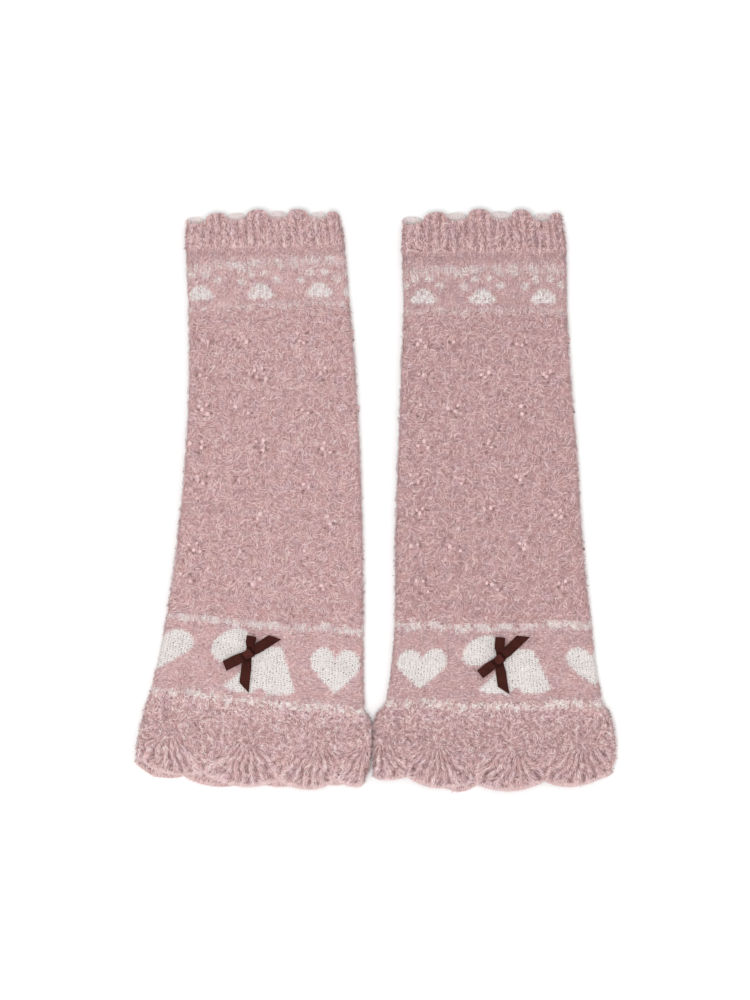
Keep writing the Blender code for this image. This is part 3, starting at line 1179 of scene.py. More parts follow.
def closed(mesh: Mesh) -> Mesh:
    """Joins a rolled-up grid at its edges, with its faces pointing out and its sharp rims marked.

    Args:
        mesh: the grid.

    Returns:
        The same mesh.
    """
    work = bmesh.new()
    work.from_mesh(mesh)
    bmesh.ops.remove_doubles(work, verts=work.verts, dist=1e-6)
    bmesh.ops.recalc_face_normals(work, faces=work.faces)
    work.to_mesh(mesh)
    work.free()
    mesh.shade_smooth()
    mesh.set_sharp_from_angle(angle=math.radians(62))
    return mesh


def dressed(name: str, mesh: Mesh, material: Material) -> Piece:
    """Makes a mesh a piece of the scene that moves with the part.

    Args:
        name: the piece's name.
        mesh: its mesh.
        material: its finish.

    Returns:
        The piece.
    """
    mesh.materials.clear()
    mesh.materials.append(material)
    piece = bpy.data.objects.new(name, mesh)
    bpy.context.scene.collection.objects.link(piece)
    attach(piece, "root")
    LOG.info("%s: %d faces", name, len(mesh.polygons))
    return piece


@dataclass(frozen=True)
class PileZone:
    """How the pile grows on one stretch."""

    fibres: int
    length: float
    width: float
    lift: float
    swirl: float


class Pile:
    """Brushed fibres: flat blades, pointed at both ends, that lie in swirls on the cloth."""

    ZONES = {
        Stretch.CUFF: PileZone(5000, 3.0 * MM, 0.46 * MM, 0.50 * MM, 0.4),
        Stretch.PAW_BAND: PileZone(7500, 2.3 * MM, 0.36 * MM, 0.40 * MM, 0.5),
        Stretch.LEG: PileZone(41000, 3.6 * MM, 0.34 * MM, 0.62 * MM, 1.3),
        Stretch.HEART_BAND: PileZone(11500, 2.3 * MM, 0.36 * MM, 0.40 * MM, 0.6),
        Stretch.HEM: PileZone(17500, 3.2 * MM, 0.46 * MM, 0.60 * MM, 0.5),
    }
    FRONT_SHARE = 0.66
    INSIDE_SHARE = 0.45
    BARE_RADIUS = 1.45 * MM
    # Where a blade's points lie along it, and how wide it is there.
    BLADE = ((0.0, 0.0), (0.33, 1.0), (0.7, 0.8), (1.0, 0.0))
    # How common dark specks and pale strands are, and their tints.
    SPECKS = (0.17, 0.02, 0.20)
    STRANDS = (0.05, 0.58, 0.70)
    STREAKS = ((0.06, 2.6, 31), (0.04, 9.0, 32))
    SPREAD = 0.108
    # How far the tint rises at the ribs and rays as painted highlight and falls between them as painted
    # shade, and at the cords;
    # how far it falls at the dark knots, painted shade in the ray grooves and random dark yarn in the upper
    # hem, and rises at the pale knots between the hem's rays; and how far painted light raises it at the
    # hem's folds.
    RIB_TINT, RAY_TINT, CORD_TINT = 0.14, 0.26, 0.14
    DARK_KNOT, PALE_KNOT, FOLD_TINT = 0.26, 0.13, 0.10
    # How far fibres stray from the chart, and how near a fold they stand up.
    STRAY = 0.55 * MM
    FOLD_REACH = 0.02

    def __init__(self, wall: KnitWall, seed: int, bare: Array) -> None:
        """Prepares the pile of a stretch.

        Args:
            wall: the stretch's wall.
            seed: the seed of its random draws.
            bare: points that the fibres keep clear of, n by 3.
        """
        self.wall = wall
        self.zone = self.ZONES[wall.stretch]
        self.rng = np.random.default_rng(seed)
        self.bare = bare

    def roots(self) -> tuple[Array, Array, Array]:
        """Draws the fibres' places round the tube and down the stretch, most of them in front.

        Returns:
            The places round it, those down it, and which fibres grow on the inside, at a free edge.
        """
        count = self.zone.fibres
        front = self.rng.random(count) < self.FRONT_SHARE
        around = self.rng.random(count) + np.where(front, 0.0, 1.0)
        along = self.rng.random(count)
        inside = np.zeros(count, bool)
        if self.wall.stretch in (Stretch.CUFF, Stretch.HEM):
            inside = ~front & (self.rng.random(count) < self.INSIDE_SHARE)
            near = along * (0.25 if self.wall.stretch is Stretch.CUFF else -0.2)
            along = np.where(inside, near % 1.0, along)
        return around, along, inside

    def build(self, name: str, material: Material) -> Piece:
        """Grows the pile.

        Args:
            name: the piece's name.
            material: its finish.

        Returns:
            The piece.
        """
        wall, zone, rng = self.wall, self.zone, self.rng
        around, along, inside = self.roots()
        depth = np.where(inside, SKIN_DEPTH + SKIN_WALL, SKIN_DEPTH)
        base = wall.place(around, along, depth)
        step = 0.004
        ahead = np.minimum(along + step, 1)
        by_x = wall.place(around + step, along, depth) - base
        by_y = wall.place(around, ahead, depth) - wall.place(around, ahead - step, depth)
        out = np.cross(by_y, by_x)
        out /= np.linalg.norm(out, axis=1, keepdims=True)
        across = by_x / np.linalg.norm(by_x, axis=1, keepdims=True)
        downward = np.cross(across, out)
        out[inside] *= -1
        angle = self.lay(around, along)
        heading = across * np.cos(angle)[:, None] + downward * np.sin(angle)[:, None]
        tint, cast = self.tints(around, along, inside)
        keep = np.ones(len(base), bool)
        for spot in self.bare:
            keep &= np.linalg.norm(base - spot, axis=1) > self.BARE_RADIUS
        keep &= (tint < 0.84) | (rng.random(len(base)) < 0.35)
        base, out, heading, tint, cast = base[keep], out[keep], heading[keep], tint[keep], cast[keep]
        count = len(base)
        side = np.cross(out, heading)
        speck, strand = tint < 0.22, (tint > 0.58) & (tint < 0.8)
        size = rng.uniform(0.65, 1.35, count) * np.where(speck, 0.52, 1.0) * np.where(strand, 1.35, 1.0)
        length = zone.length * size
        width = zone.width * rng.uniform(0.7, 1.3, count) * np.where(strand, 0.7, 1.0)
        lift = zone.lift * (rng.uniform(0.35, 1.3, count) ** 1.2 + 0.55 * speck + 0.2 * strand)
        lift = lift * (1 + 1.6 * bell(from_fold(around)[keep] / self.FOLD_REACH))
        curl = rng.normal(0, 0.12, count) * length
        tilt = rng.normal(0, 0.25, count)
        rows = []
        for t, w in self.BLADE:
            middle = (
                base
                + heading * (length * (t - 0.5))[:, None]
                + side * (curl * (t * t - t))[:, None]
                + out * (lift * (0.1 + 1.15 * t - 0.55 * t * t))[:, None]
            )
            if w == 0:
                rows.append(middle)
                continue
            edge = (side + out * tilt[:, None]) * (width * w / 2)[:, None]
            rows += [middle - edge, middle + edge]
        points = np.stack(rows, 1).reshape(-1, 3)
        points[:, 2] = np.maximum(points[:, 2], 0.08 * MM)
        return self.joined(name, points, tint, cast, material)

    def lay(self, around: Array, along: Array) -> Array:
        """Which way fibres lie, from the way across the cloth toward the hem.

        Args:
            around: the fibres' places round the tube.
            along: their places down the stretch.

        Returns:
            Angles in radians.
        """
        down = self.wall.down_at(around, along)
        swirl = self.zone.swirl * Ripples(13, 21).at(around, down) + 0.35 * self.rng.normal(size=len(around))
        if self.wall.stretch is Stretch.HEART_BAND:
            cream = self.wall.chart.cream(around, down, self.wall.tube.layer_length(down))
            return np.where(cream > 0.2, math.pi / 2 + 0.3 * swirl, swirl)
        if self.wall.stretch is Stretch.HEM:
            angle, _, plain = self.wall.rays.at(around, down)
            return math.pi / 2 - angle * plain + swirl * (1.9 - 1.4 * plain)
        if self.wall.stretch in (Stretch.CUFF, Stretch.PAW_BAND):
            return math.pi / 2 + swirl
        return swirl

    def tints(self, around: Array, along: Array, inside: Array) -> tuple[Array, Array]:
        """The fibres' places in the palette: streaks and specks about the yarn they come from, with painted
        highlight and shade at the seam, the cuff's ribs and the hem's rays, and painted light at the hem's
        folds.

        Args:
            around: their places round the tube.
            along: their places down the stretch.
            inside: which grow on the inside.

        Returns:
            Their tints and casts.
        """
        rng, count, stretch = self.rng, len(around), self.wall.stretch
        down = self.wall.down_at(around, along)
        tint = ROSE_TINT + mixed(self.STREAKS, around, down) + rng.normal(0, self.SPREAD, count)
        # The fibres get the seam's painted highlight and shade too.
        tint = tint + 0.55 * (self.wall.tone - 1) + 0.6 * self.wall.seam(down)
        tint = self.sprinkled(tint, self.STRANDS)
        cast = 0.5 + 0.22 * Ripples(15.0, 33).at(around, down) + rng.normal(0, 0.08, count)
        if stretch is Stretch.CUFF:
            # Painted highlight on the cuff's ribs and painted shade between them.
            tint = tint - 0.02 + self.RIB_TINT * (self.wall.rib(around) - 0.5)
        if stretch is Stretch.PAW_BAND:
            tint = tint - 0.05
        if stretch is Stretch.HEM:
            _, ridge, plain = self.wall.rays.at(around, down)
            cords = self.wall.rays.cords(around, down)
            # Painted highlight on the ray ridges and painted shade in their grooves; the cords are paler.
            tint = tint + 0.045 + self.RAY_TINT * (ridge - 0.5) * plain + self.CORD_TINT * cords
            knots = Ripples(4.0, 34).at(around, down)
            # Dark knots: painted shade in the ray grooves, and random dark yarn in the upper hem.
            dark = ((ridge < 0.3) * plain + 0.65 * (1 - plain)) * (knots > 0.4)
            tint = tint - self.DARK_KNOT * dark + self.PALE_KNOT * (1 - plain) * (knots < -0.7)
            # Painted light on the fibres at the hem's folds.
            tint = tint + self.FOLD_TINT * bell(from_fold(around) / self.FOLD_REACH)
        tint = self.sprinkled(tint, self.SPECKS)
        if stretch is not Stretch.CUFF:
            length = self.wall.tube.layer_length(down)
            stray = rng.normal(0, self.STRAY, (2, count))
            cream = self.wall.chart.cream(around + stray[0] / length, down + stray[1], length)
            pale = rng.random(count) < cream * 1.08
            tint = np.where(pale, CREAM_TINT + rng.normal(0, 0.012, count), tint)
            cast = cast + 0.3 * pale
        if stretch is Stretch.CUFF:
            tint = np.where(inside, rng.uniform(0.72, 0.86, count), tint)
        if stretch is Stretch.HEM:
            # Fibres at the hem's edge and on its inside are pale: the pale lip, and painted light on the
            # inside against the shade under the front lip.
            tint = np.where(along > 0.96, 0.62 + rng.normal(0, 0.05, count), tint)
        return np.clip(tint, 0.02, 0.9), np.clip(cast, 0.04, 0.96)

    def sprinkled(self, tint: Array, fleck: tuple[float, float, float]) -> Array:
        """Gives a random share of the fibres a tint of its own.

        Args:
            tint: the fibres' tints.
            fleck: the share, and its lowest and highest tint.

        Returns:
            The tints.
        """
        share, low, high = fleck
        chosen = self.rng.random(len(tint)) < share
        return np.where(chosen, self.rng.uniform(low, high, len(tint)), tint)

    @staticmethod
    def joined(name: str, points: Array, tint: Array, cast: Array, material: Material) -> Piece:
        """Joins blades into one mesh.

        Args:
            name: the piece's name.
            points: six for each blade, in order from its root.
            tint: each blade's place in the palette.
            cast: each blade's cast.
            material: the finish.

        Returns:
            The piece.
        """
        count = len(tint)
        first = np.arange(count)[:, None] * 6
        corners = np.concatenate([first + [0, 2, 1], first + [1, 2, 4, 3], first + [3, 4, 5]], 1).ravel()
        sizes = np.tile([3, 4, 3], count)
        up = np.array([-1.0, -0.33, -0.33, 0.4, 0.4, 1.0]) / 60
        sideways = np.array([0.0, -1.0, 1.0, -1.0, 1.0, 0.0]) / 500
        mesh = bpy.data.meshes.new(name)
        mesh.vertices.add(len(points))
        mesh.vertices.foreach_set("co", points.ravel())
        mesh.loops.add(len(corners))
        mesh.loops.foreach_set("vertex_index", corners)
        mesh.polygons.add(len(sizes))
        mesh.polygons.foreach_set("loop_start", np.concatenate([[0], np.cumsum(sizes)[:-1]]))
        mesh.update(calc_edges=True)
        blade, spot = corners // 6, corners % 6
        uv = np.stack([tint[blade] + sideways[spot], cast[blade] + up[spot]], -1)
        mesh.uv_layers.new(name=UNROLLED_MAP).data.foreach_set("uv", uv.ravel())
        mesh.shade_smooth()
        return dressed(name, mesh, material)


@dataclass(frozen=True)
class EyeletFlowers:
    """The small open-work flowers of the leg: eyelets drawn as dark discs of painted shade, with pale nubs
    between them.

    The pitches are shares of a layer's width round the tube, and millimetres down it. The chances
    say how many of the holes and nubs show through the pile.
    """

    tube: PressedTube
    starts: tuple[float, float]
    seed: int
    pitch: float = 0.357
    first_row: float = 88.0
    row_pitch: float = 24.5
    rows: int = 8
    hole_chance: float = 0.6
    nub_chance: float = 0.55
    scatter: float = 0.8
    holes: Offsets = ((-4.8, 0.4), (4.6, -0.8), (-1.4, -3.6), (2.2, 3.4))
    nubs: Offsets = ((-2.2, 0.8), (1.9, -1.0), (0.4, 4.6), (-4.6, 3.4))

    def spots(self, offsets: Offsets, chance: float) -> Array:
        """Places of eyelets or nubs.

        Args:
            offsets: where they lie in a flower, millimetres.
            chance: how many of them show through the pile.

        Returns:
            Their places round the tube and down it, n by 2.
        """
        rng = np.random.default_rng(self.seed)
        found = []
        for row in range(self.rows):
            down = self.first_row + row * self.row_pitch
            start = self.starts[row % 2]
            for k in range(6):
                around = start + k * self.pitch
                if around > start % self.pitch + 1.9:
                    continue
                width = float(self.tube.layer_length(np.array(down * MM))) / MM
                for dx, dy in offsets:
                    jitter = rng.normal(0, self.scatter, 2)
                    if rng.random() < chance:
                        found.append((around + (dx + jitter[0]) / width, (down - dy + jitter[1]) * MM))
        return np.array(found)

    def points(self, offsets: Offsets, chance: float, out: float) -> Array:
        """The same as points of the cloth, raised out of its solid skin by a distance."""
        at = self.spots(offsets, chance)
        return self.tube.point(at[:, 0], at[:, 1], np.full(len(at), -out), 0.0)

    def build(self, name: str, material: Material) -> Piece:
        """Makes the eyelets and the nubs, all of one mesh.

        Args:
            name: the piece's name.
            material: the finish.

        Returns:
            The piece.
        """
        rng = np.random.default_rng(self.seed + 1)
        work = bmesh.new()
        uv = work.loops.layers.uv.new(UNROLLED_MAP)
        for spot in self.points(self.holes, self.hole_chance, 0.35 * MM):
            self.eyelet(work, uv, spot, rng.uniform(0.75, 1.35) * MM)
        for spot in self.points(self.nubs, self.nub_chance, 0.0):
            size = Vector((rng.uniform(0.9, 1.6), rng.uniform(1.0, 1.9), 0.7)) * MM
            made = bmesh.ops.create_icosphere(work, subdivisions=2, radius=1.0)["verts"]
            bmesh.ops.scale(work, vec=size, verts=made)
            bmesh.ops.translate(work, vec=Vector((*spot[:2], max(spot[2], 0.6 * MM))), verts=made)
            self.tint(uv, made, float(rng.uniform(0.44, 0.56)))
        return dressed(name, finished(work, name), material)

    def eyelet(self, work: Work, uv: MapLayer, spot: Array, radius: float) -> None:
        """Adds one eyelet: a small flat dark disc of painted shade, longer one way, that stands just out of
        the pile.

        Args:
            work: the mesh that it joins.
            uv: the palette map.
            spot: its middle.
            radius: its radius.
        """
        front = spot[2] > FOLD_RADIUS
        made = bmesh.ops.create_cone(
            work, cap_ends=True, cap_tris=True, segments=10, radius1=radius, radius2=radius * 0.4,
            depth=0.3 * MM,
        )["verts"]
        bmesh.ops.scale(work, vec=(1.0, 0.7, 1.0), verts=made)
        for turn, axis in ((1e3 * spot[0] % 3, "Z"), (0.0 if front else math.pi, "X")):
            bmesh.ops.rotate(work, cent=Vector(), matrix=Matrix.Rotation(turn, 3, axis), verts=made)
        lowest = 0.0 if front else 0.2 * MM
        bmesh.ops.translate(work, vec=Vector((*spot[:2], max(spot[2], lowest))), verts=made)
        # Painted shade: the eyelet's dark inside.
        self.tint(uv, made, HOLE_TINT)

    @staticmethod
    def tint(uv: MapLayer, made: list[bmesh.types.BMVert], tint: float) -> None:
        """Gives new faces one place in the palette.

        Args:
            uv: the palette map.
            made: the points of the faces.
            tint: the place.
        """
        for face in {f for vert in made for f in vert.link_faces}:
            for k, loop in enumerate(face.loops):
                loop[uv].uv = (tint + 0.001 * (k % 2), 0.5 + 0.01 * (k // 2))


@dataclass(frozen=True)
class Arm:
    """One arm of a bow: its direction in degrees, and in mm its length, how high a loop stands, how
    wide it is at the knot and how much higher it leaves the knot than the arms that it crosses."""

    name: str
    angle: float
    length: float
    height: float
    pinch: float = 5.6
    over: float = 0.0


@dataclass
class Bow:
    """A bow of 7 mm satin ribbon: two tails, two loops and the knot that holds them.

    The ribbon's width and thickness, how far over the cloth it rests, where an arm starts from the
    knot's middle, how far a tail is cut on the slant, and the knot's size. Then how near the knot
    arms cross, how far out they stay pinched and then open to the whole width, how deep the pinch
    creases them, how far the ribbon is crowned and how high a tail waves.
    """

    side: str
    tube: PressedTube
    arms: tuple[Arm, ...]
    around: float
    down: float
    ribbon: float = 7 * MM
    thick: float = 0.32 * MM
    rest: float = 0.50 * MM
    start: float = 1.0 * MM
    cut: float = 6.2 * MM
    knot: tuple[float, float, float] = (7.8 * MM, 6.9 * MM, 3.8 * MM)
    crossing: float = 8.5 * MM
    pinched: float = 2.5 * MM
    opening: float = 6.5 * MM
    crease: float = 0.35 * MM
    crown: float = 0.18 * MM
    wave: float = 0.7 * MM

    def over_front(self, angle: float, out: Array, side: Array, lift: Array) -> Array:
        """Points over the front layer at the bow.

        Args:
            angle: an arm's direction, radians.
            out: distances along it from the knot's middle.
            side: distances to its left.
            lift: heights over the cloth.

        Returns:
            The points, n by 3.
        """
        x = out * math.cos(angle) - side * math.sin(angle)
        y = out * math.sin(angle) + side * math.cos(angle)
        length = self.tube.layer_length(np.array(self.down * MM))
        points = self.tube.point(self.around + x / length, self.down * MM - y, 0.0, 0.0)
        points[..., 2] += lift
        return points

    def middle(self, lift: float = 0.0) -> Array:
        """The point of the cloth under the knot, raised by a height."""
        zero = np.array(0.0)
        return self.over_front(0.0, zero, zero, zero + lift)

    def arm_points(self, arm: Arm, along: Array, side: Array) -> Array:
        """Points of an arm's middle surface, creased toward the knot.

        Args:
            arm: the arm.
            along: 0 to 1 along its ribbon.
            side: -1 to 1 across it.

        Returns:
            The points, n by 3.
        """
        reach = arm.length * MM - self.start
        if arm.height:
            out = self.start + reach * (1 - np.abs(1 - 2 * along) ** 2.6)
            share = (out - self.start) / reach
            height, top = arm.height * MM, smooth(along)
            rise = 0.55 * height * share**2 if arm.name == "loop_up" else 0.0
            lift = self.rest + rise + height * top * (0.22 + 0.78 * share**1.8)
        else:
            longer = 1 if arm.name == "tail_down" else -1
            out = self.start + along * (reach + longer * side * self.cut / 2)
            lift = self.rest + self.wave * np.sin(math.pi * along) ** 2
        wide = smooth((out - self.pinched) / self.opening)
        half = (arm.pinch * MM + (self.ribbon - arm.pinch * MM) * wide) / 2
        lift = lift + arm.over * MM * bell(out / self.crossing)
        lift = lift + (1 - wide) * self.crease * np.cos(2.5 * math.pi * side)
        lift = lift + self.crown * (1 - side**2)
        return self.over_front(math.radians(arm.angle), out, side * half, lift)

    def build_arm(self, arm: Arm, material: Material) -> Piece:
        """Makes one arm as a strip of ribbon with its thickness from Solidify.

        Args:
            arm: the arm.
            material: the finish.

        Returns:
            The piece.
        """
        work = bmesh.new()
        bmesh.ops.create_grid(work, x_segments=64 if arm.height else 40, y_segments=14, size=1.0)
        self.unroll(work, 0.5)
        for vert in work.verts:
            along, side = np.array((vert.co.x + 1) / 2), np.array(vert.co.y)
            vert.co = Vector(self.arm_points(arm, along, side))
        middle = self.middle()
        away = [math.hypot(v.co.x - middle[0], v.co.y - middle[1]) / MM for v in work.verts]
        # Painted shade: each arm darkens toward the knot.
        piece = self.piece(work, arm.name, 0.30 + 0.70 * smooth((np.array(away) - 3.4) / 2.6), material)
        solid = piece.modifiers.new("Ribbon thickness", "SOLIDIFY")
        solid.thickness = self.thick
        solid.offset = 0.0
        return piece

    def build_knot(self, material: Material) -> Piece:
        """Makes the knot: a block drawn into a soft wrap with slanting creases.

        Args:
            material: the finish.

        Returns:
            The piece.
        """
        work = bmesh.new()
        bmesh.ops.create_cube(work, size=1.0)
        bmesh.ops.subdivide_edges(work, edges=work.edges, cuts=11, use_grid_fill=True)
        self.unroll(work, 0.3)
        middle = self.middle(self.knot[2] / 2 + 0.3 * MM)
        turn = Matrix.Rotation(math.radians(self.arms[0].angle), 3, "Z")
        light = []
        for vert in work.verts:
            p = np.array(vert.co) * 2
            rounded = p / (np.abs(p) ** 5).sum() ** (1 / 5)
            crease = 1 + 0.08 * math.cos(8 * (rounded[1] + 0.45 * rounded[0]))
            # Painted highlight on the knot's middle and its crease crests, and painted shade at its edges.
            light.append(1.6 - 1.25 * smooth((abs(rounded[0]) - 0.6) / 0.32) + 3.5 * (crease - 1))
            narrower = 0.94 + 0.20 * rounded[0]
            size = np.array(self.knot) / 2 * (1, narrower, crease)
            vert.co = Vector(middle) + turn @ Vector(rounded * size)
        return self.piece(work, "knot", np.array(light), material)

    @staticmethod
    def unroll(work: Work, size: float) -> None:
        """Writes the unrolled map of a flat or round form from its own points, at a size.

        Args:
            work: the form, centred at the origin.
            size: how much of the map a metre takes.
        """
        uv = work.loops.layers.uv.new(UNROLLED_MAP)
        for face in work.faces:
            for loop in face.loops:
                loop[uv].uv = (0.5 + size * loop.vert.co.x, 0.5 + size * loop.vert.co.y)

    def piece(self, work: Work, part: str, light: Array, material: Material) -> Piece:
        """Makes a working mesh a part of the bow, in place of its solid.

        Args:
            work: the mesh.
            part: which part it is.
            light: the painted shade and highlight of the ribbon at each point.
            material: the finish.

        Returns:
            The piece.
        """
        bmesh.ops.recalc_face_normals(work, faces=work.faces)
        mesh = finished(work, f"{self.side}_ribbon_{part}")
        values = np.stack([light, light, light, np.ones(len(light))], -1)
        shade = mesh.color_attributes.new(name=DYE, type="FLOAT_COLOR", domain="POINT")
        shade.data.foreach_set("color", values.ravel())
        piece = dressed(mesh.name, mesh, material)
        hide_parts(f"{self.side}_bow_{part}")
        return piece

    def build(self, material: Material) -> None:
        """Builds the arms and the knot.

        Args:
            material: the finish.
        """
        for arm in self.arms:
            self.build_arm(arm, material)
        self.build_knot(material)


@dataclass
class LegWarmer:
    """One leg warmer: its knitted stretches, its pile, its eyelet flowers and its bow."""

    side: str
    tube: PressedTube
    chart: Colourwork
    flowers: EyeletFlowers
    bow: Bow
    seed: int
    tone: float = 1.0

    def build(self, knit: dict[Stretch, Material], pile: Material, satin: Material) -> None:
        """Builds every piece.

        Args:
            knit: the finish of each stretch.
            pile: the finish of the fibres.
            satin: the finish of the ribbon.
        """
        holes = self.flowers.points(self.flowers.holes, self.flowers.hole_chance, 0.0)
        for number, stretch in enumerate(Stretch):
            wall = KnitWall(self.tube, stretch, self.chart, self.tone)
            piece = wall.build(f"{self.side}_knit_{stretch.value}", knit[stretch])
            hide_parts(f"{self.side}_{stretch.value}")
            flat, area = wall.cut()
            min(area, flat[0] * flat[1])
            bare = holes if stretch is Stretch.LEG else np.zeros((0, 3))
            Pile(wall, self.seed + number, bare).build(f"{self.side}_pile_{stretch.value}", pile)
        self.flowers.build(f"{self.side}_eyelets", pile)
        self.bow.build(satin)


@dataclass(frozen=True)
class Lamp:
    """A square lamp that faces the pair: its place, its side in metres and its power in watts."""

    name: str
    place: tuple[float, float, float]
    size: float
    power: float

    def build(self) -> None:
        """Hangs the lamp."""
        data = bpy.data.lights.new(self.name, "AREA")
        data.size = self.size
        data.energy = self.power
        lamp = bpy.data.objects.new(self.name, data)
        lamp.location = self.place
        lamp.rotation_euler = (-Vector(self.place)).to_track_quat("-Z", "Y").to_euler()
        bpy.context.scene.collection.objects.link(lamp)


@dataclass(frozen=True)
class Studio:
    """The pale floor, the soft light and the camera over the pair."""

    floor_size: float = 6.0
    floor_colour: Colour = (0.905, 0.906, 0.902)
    floor_shade: float = 0.985
    sky: float = 0.85
    lamps: tuple[Lamp, ...] = (
        Lamp("over", (-0.45, -0.50, 2.1), 1.4, 20.5),
        Lamp("side", (1.1, -0.3, 1.2), 1.2, 3.0),
    )

    def build(self) -> None:
        """Builds the floor, the lamps, the world and the camera."""
        scene = bpy.context.scene
        scene.view_settings.view_transform = "Standard"
        self.floor()
        for lamp in self.lamps:
            lamp.build()
        scene.world = bpy.data.worlds.new("studio")
        scene.world.use_nodes = True
        background = scene.world.node_tree.nodes["Background"]
        background.inputs[0].default_value = (1.0, 1.0, 1.0, 1)
        background.inputs[1].default_value = self.sky
        data = bpy.data.cameras.new("camera")
        data.lens = data.sensor_width * CAMERA_HEIGHT / FRAME_HEIGHT
        camera = bpy.data.objects.new("camera", data)
        camera.location = (CAMERA_X, CAMERA_Y, CAMERA_HEIGHT)
        scene.collection.objects.link(camera)
        scene.camera = camera

    def floor(self) -> None:
        """Makes the floor, a little under the cloth."""
        work = bmesh.new()
        bmesh.ops.create_grid(work, x_segments=8, y_segments=8, size=self.floor_size / 2)
        mesh = finished(work, "floor")
        sheet = NodeSheet("pale_floor")
        low = tuple(self.floor_shade * c for c in self.floor_colour)
        colour = sheet.ramp(sheet.noise(3.0), [(0.3, low), (0.7, self.floor_colour)])
        mesh.materials.append(sheet.dressed({"Base Color": colour, "Roughness": 0.9}))
        piece = bpy.data.objects.new("floor", mesh)
        bpy.context.scene.collection.objects.link(piece)


LEFT_TUBE = PressedTube(
    courses=(
        Course(0, -131.6, 197.2, -26.2, 201.0, 3.6),
        Course(23, -132.9, 175.7, -21.6, 177.8, 0.7),
        Course(64.5, -130.8, 133.7, -17.9, 136.5, 0),
        Course(114, -130.4, 85.0, -13.8, 86.0, 0),
        Course(171, -133.2, 28.5, -10.6, 24.8, 0),
        Course(228, -138.6, -27.0, -8.8, -35.0, 0),
        Course(286, -145.8, -78.4, -8.2, -90.3, 0),
        Course(338, -157.2, -133.0, -7.4, -145.6, 0),
        Course(350, -161.2, -144.5, -3.0, -155.5, -1.5),
        Course(372, -165.7, -164.4, -2.4, -174.6, -5.0),
        Course(398, -168.0, -185.2, -8.0, -199.4, -8.0),
    ),
    scallops=Repeats((0.20, 0.464, 0.728, 0.967, 1.132, 1.41, 1.675, 1.947)),
    fans=Repeats((0.13, 0.465, 0.765, 0.965, 1.12, 1.37, 1.62, 1.945)),
    drop=Drop(-2.0, 7.4, 1.84, 0.30),
    swells=(
        Swell(0.72, 118, 0.22, 40, 0.7),
        Swell(0.30, 196, 0.25, 46, 0.6),
        Swell(0.66, 262, 0.24, 34, 0.5),
        Swell(0.16, 318, 0.16, 20, 0.9),
    ),
    creases=(
        Crease(0.005, 321, 0.27, 324),
        Crease(0.005, 328, 0.26, 333),
        Crease(0.02, 304, 0.20, 300, 0.5),
        Crease(0.30, 274, 0.78, 281, 0.55),
        Crease(0.03, 262, 0.42, 267, 0.45),
        Crease(0.55, 246, 0.97, 250, 0.4),
        Crease(0.12, 348, 0.34, 356, 0.6),
        Crease(0.60, 352, 0.92, 346, 0.5),
    ),
)
RIGHT_TUBE = PressedTube(
    courses=(
        Course(0, 19.6, 197.6, 129.6, 200.0, 4.3),
        Course(23, 18.3, 172.9, 133.5, 173.6, 0.7),
        Course(64.5, 19.4, 131.6, 134.0, 131.6, 0),
        Course(114, 17.6, 84.0, 136.6, 84.0, 0),
        Course(171, 15.6, 28.0, 141.2, 28.0, 0),
        Course(228, 13.6, -28.0, 144.8, -28.0, 0),
        Course(286, 12.8, -91.7, 151.4, -90.3, 2.0),
        Course(338, 7.0, -140.7, 158.4, -139.3, -1.4),
        Course(349, -0.6, -151.9, 164.6, -151.2, -2.0),
        Course(371, -1.2, -172.6, 167.8, -172.4, -5.6),
        Course(397, -1.8, -193.9, 163.6, -196.0, -8.2),
    ),
    scallops=Repeats((0.21, 0.48, 0.744, 0.968, 1.12, 1.39, 1.667, 1.94)),
    fans=Repeats((0.03, 0.265, 0.575, 0.854, 1.11, 1.38, 1.64, 1.84)),
    drop=Drop(-5.5, 7.2, 1.64, 0.10),
    swells=(
        Swell(0.68, 128, 0.26, 38, 0.8),
        Swell(0.34, 214, 0.24, 44, 0.6),
        Swell(0.80, 250, 0.16, 36, 0.6),
        Swell(0.84, 324, 0.14, 20, 0.7),
    ),
    creases=(
        Crease(0.02, 273, 0.44, 278, 0.55),
        Crease(0.52, 280, 0.97, 274, 0.55),
        Crease(0.08, 256, 0.52, 252, 0.4),
        Crease(0.01, 344, 0.26, 350, 0.6),
        Crease(0.62, 349, 0.93, 345, 0.5),
    ),
)


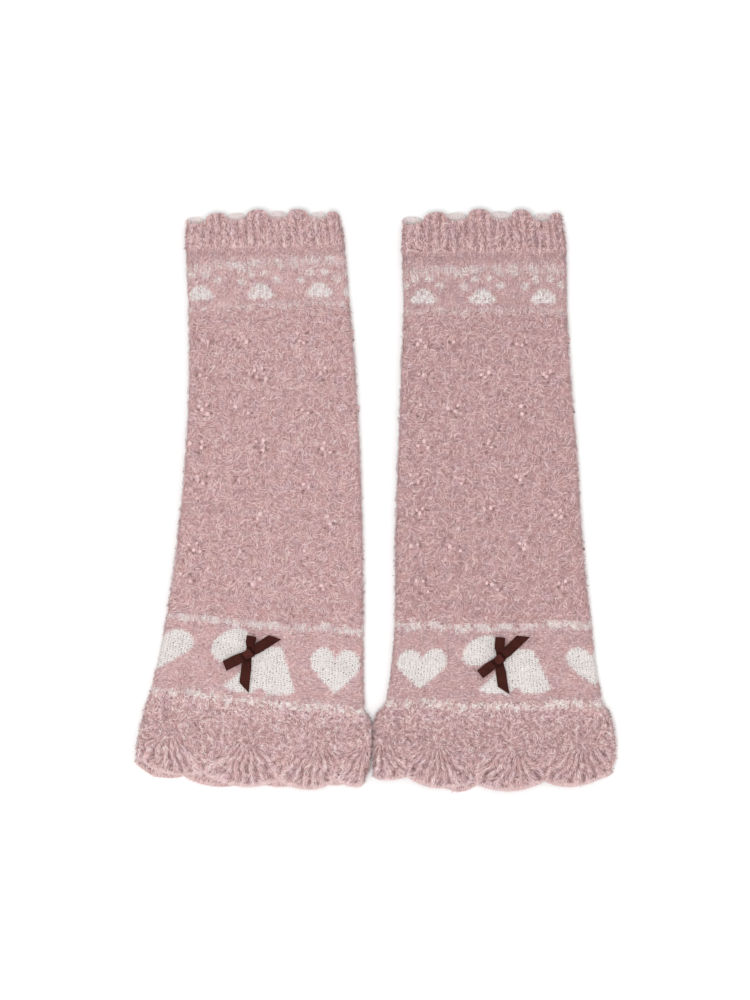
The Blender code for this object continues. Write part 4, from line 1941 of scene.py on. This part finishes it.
LEFT_CHART = Colourwork(
    motifs=(
        *(Motif("paw", place, 54.0) for place in (0.094, 0.453, 0.81, 1.03, 1.38, 1.736)),
        Motif("heart", 0.012, 309.8, 0.95, 1.28),
        Motif("animal", 0.457, 314.4),
        Motif("heart", 0.852, 314.6),
        Motif("animal", 1.26, 312.0),
        Motif("heart", 1.66, 312.5),
    ),
    lines=(
        Line(36.6, 35.0, 33.6, 2.7, 0.56, 0.50),
        Line(64.0, 63.5, 63.5, 1.7, 0.36, 0.50),
        Line(287.3, 290.0, 286.5, 2.2, 0.72, 0.45),
        Line(337.4, 340.2, 340.4, 2.3, 0.72, 0.45),
    ),
)
RIGHT_CHART = Colourwork(
    motifs=(
        *(Motif("paw", place, 54.0) for place in (0.135, 0.485, 0.847, 1.203, 1.559, 1.87)),
        Motif("heart", 0.157, 313.3),
        Motif("animal", 0.552, 312.6),
        Motif("heart", 0.968, 312.6),
        Motif("animal", 1.37, 312.0),
        Motif("heart", 1.75, 312.5),
    ),
    lines=(
        Line(36.2, 35.5, 35.2, 2.7, 0.54, 0.50),
        Line(64.0, 64.0, 64.0, 1.7, 0.36, 0.50),
        Line(282.0, 287.0, 283.0, 2.2, 0.72, 0.45),
        Line(338.0, 341.0, 340.0, 2.3, 0.72, 0.50),
    ),
)
LEFT_ARMS = (
    Arm("tail_up", 35.5, 21.9, 0, over=1.7),
    Arm("loop_up", 84, 12.2, 3.6, pinch=3.2),
    Arm("loop_side", 210, 17.3, 2.6, over=1.1),
    Arm("tail_down", 270, 21.7, 0),
)
RIGHT_ARMS = (
    Arm("tail_up", 42, 24.2, 0, over=1.7),
    Arm("loop_up", 85, 15.6, 3.6, pinch=3.4),
    Arm("loop_side", 218, 16.4, 2.6, over=1.1),
    Arm("tail_down", 278, 21.8, 0),
)


def main() -> None:
    """Builds the pair and the studio."""
    logging.basicConfig(level=logging.INFO, format="%(message)s")
    pile = PileFinish().material()
    satin = SatinFinish().material()
    brushed = KnitFinish("brushed_knit", 0.20, 0.45, 0.24, 0.45).material()
    charted = KnitFinish("colourwork_knit", 0.20, 0.85, 0.10, 0.7).material()
    knit = {stretch: brushed for stretch in Stretch}
    knit[Stretch.PAW_BAND] = knit[Stretch.HEART_BAND] = charted
    left = LegWarmer(
        side="left",
        tube=LEFT_TUBE,
        chart=LEFT_CHART,
        flowers=EyeletFlowers(LEFT_TUBE, (0.33, 0.085), 51),
        bow=Bow("left", LEFT_TUBE, LEFT_ARMS, 0.433, 309.4),
        seed=100,
    )
    right = LegWarmer(
        side="right",
        tube=RIGHT_TUBE,
        chart=RIGHT_CHART,
        flowers=EyeletFlowers(RIGHT_TUBE, (0.335, 0.157), 61),
        bow=Bow("right", RIGHT_TUBE, RIGHT_ARMS, 0.524, 308.3),
        seed=200,
        tone=0.925,
    )
    for leg_warmer in (left, right):
        leg_warmer.build(knit, pile, satin)
    Studio().build()


if __name__ == "__main__":
    main()
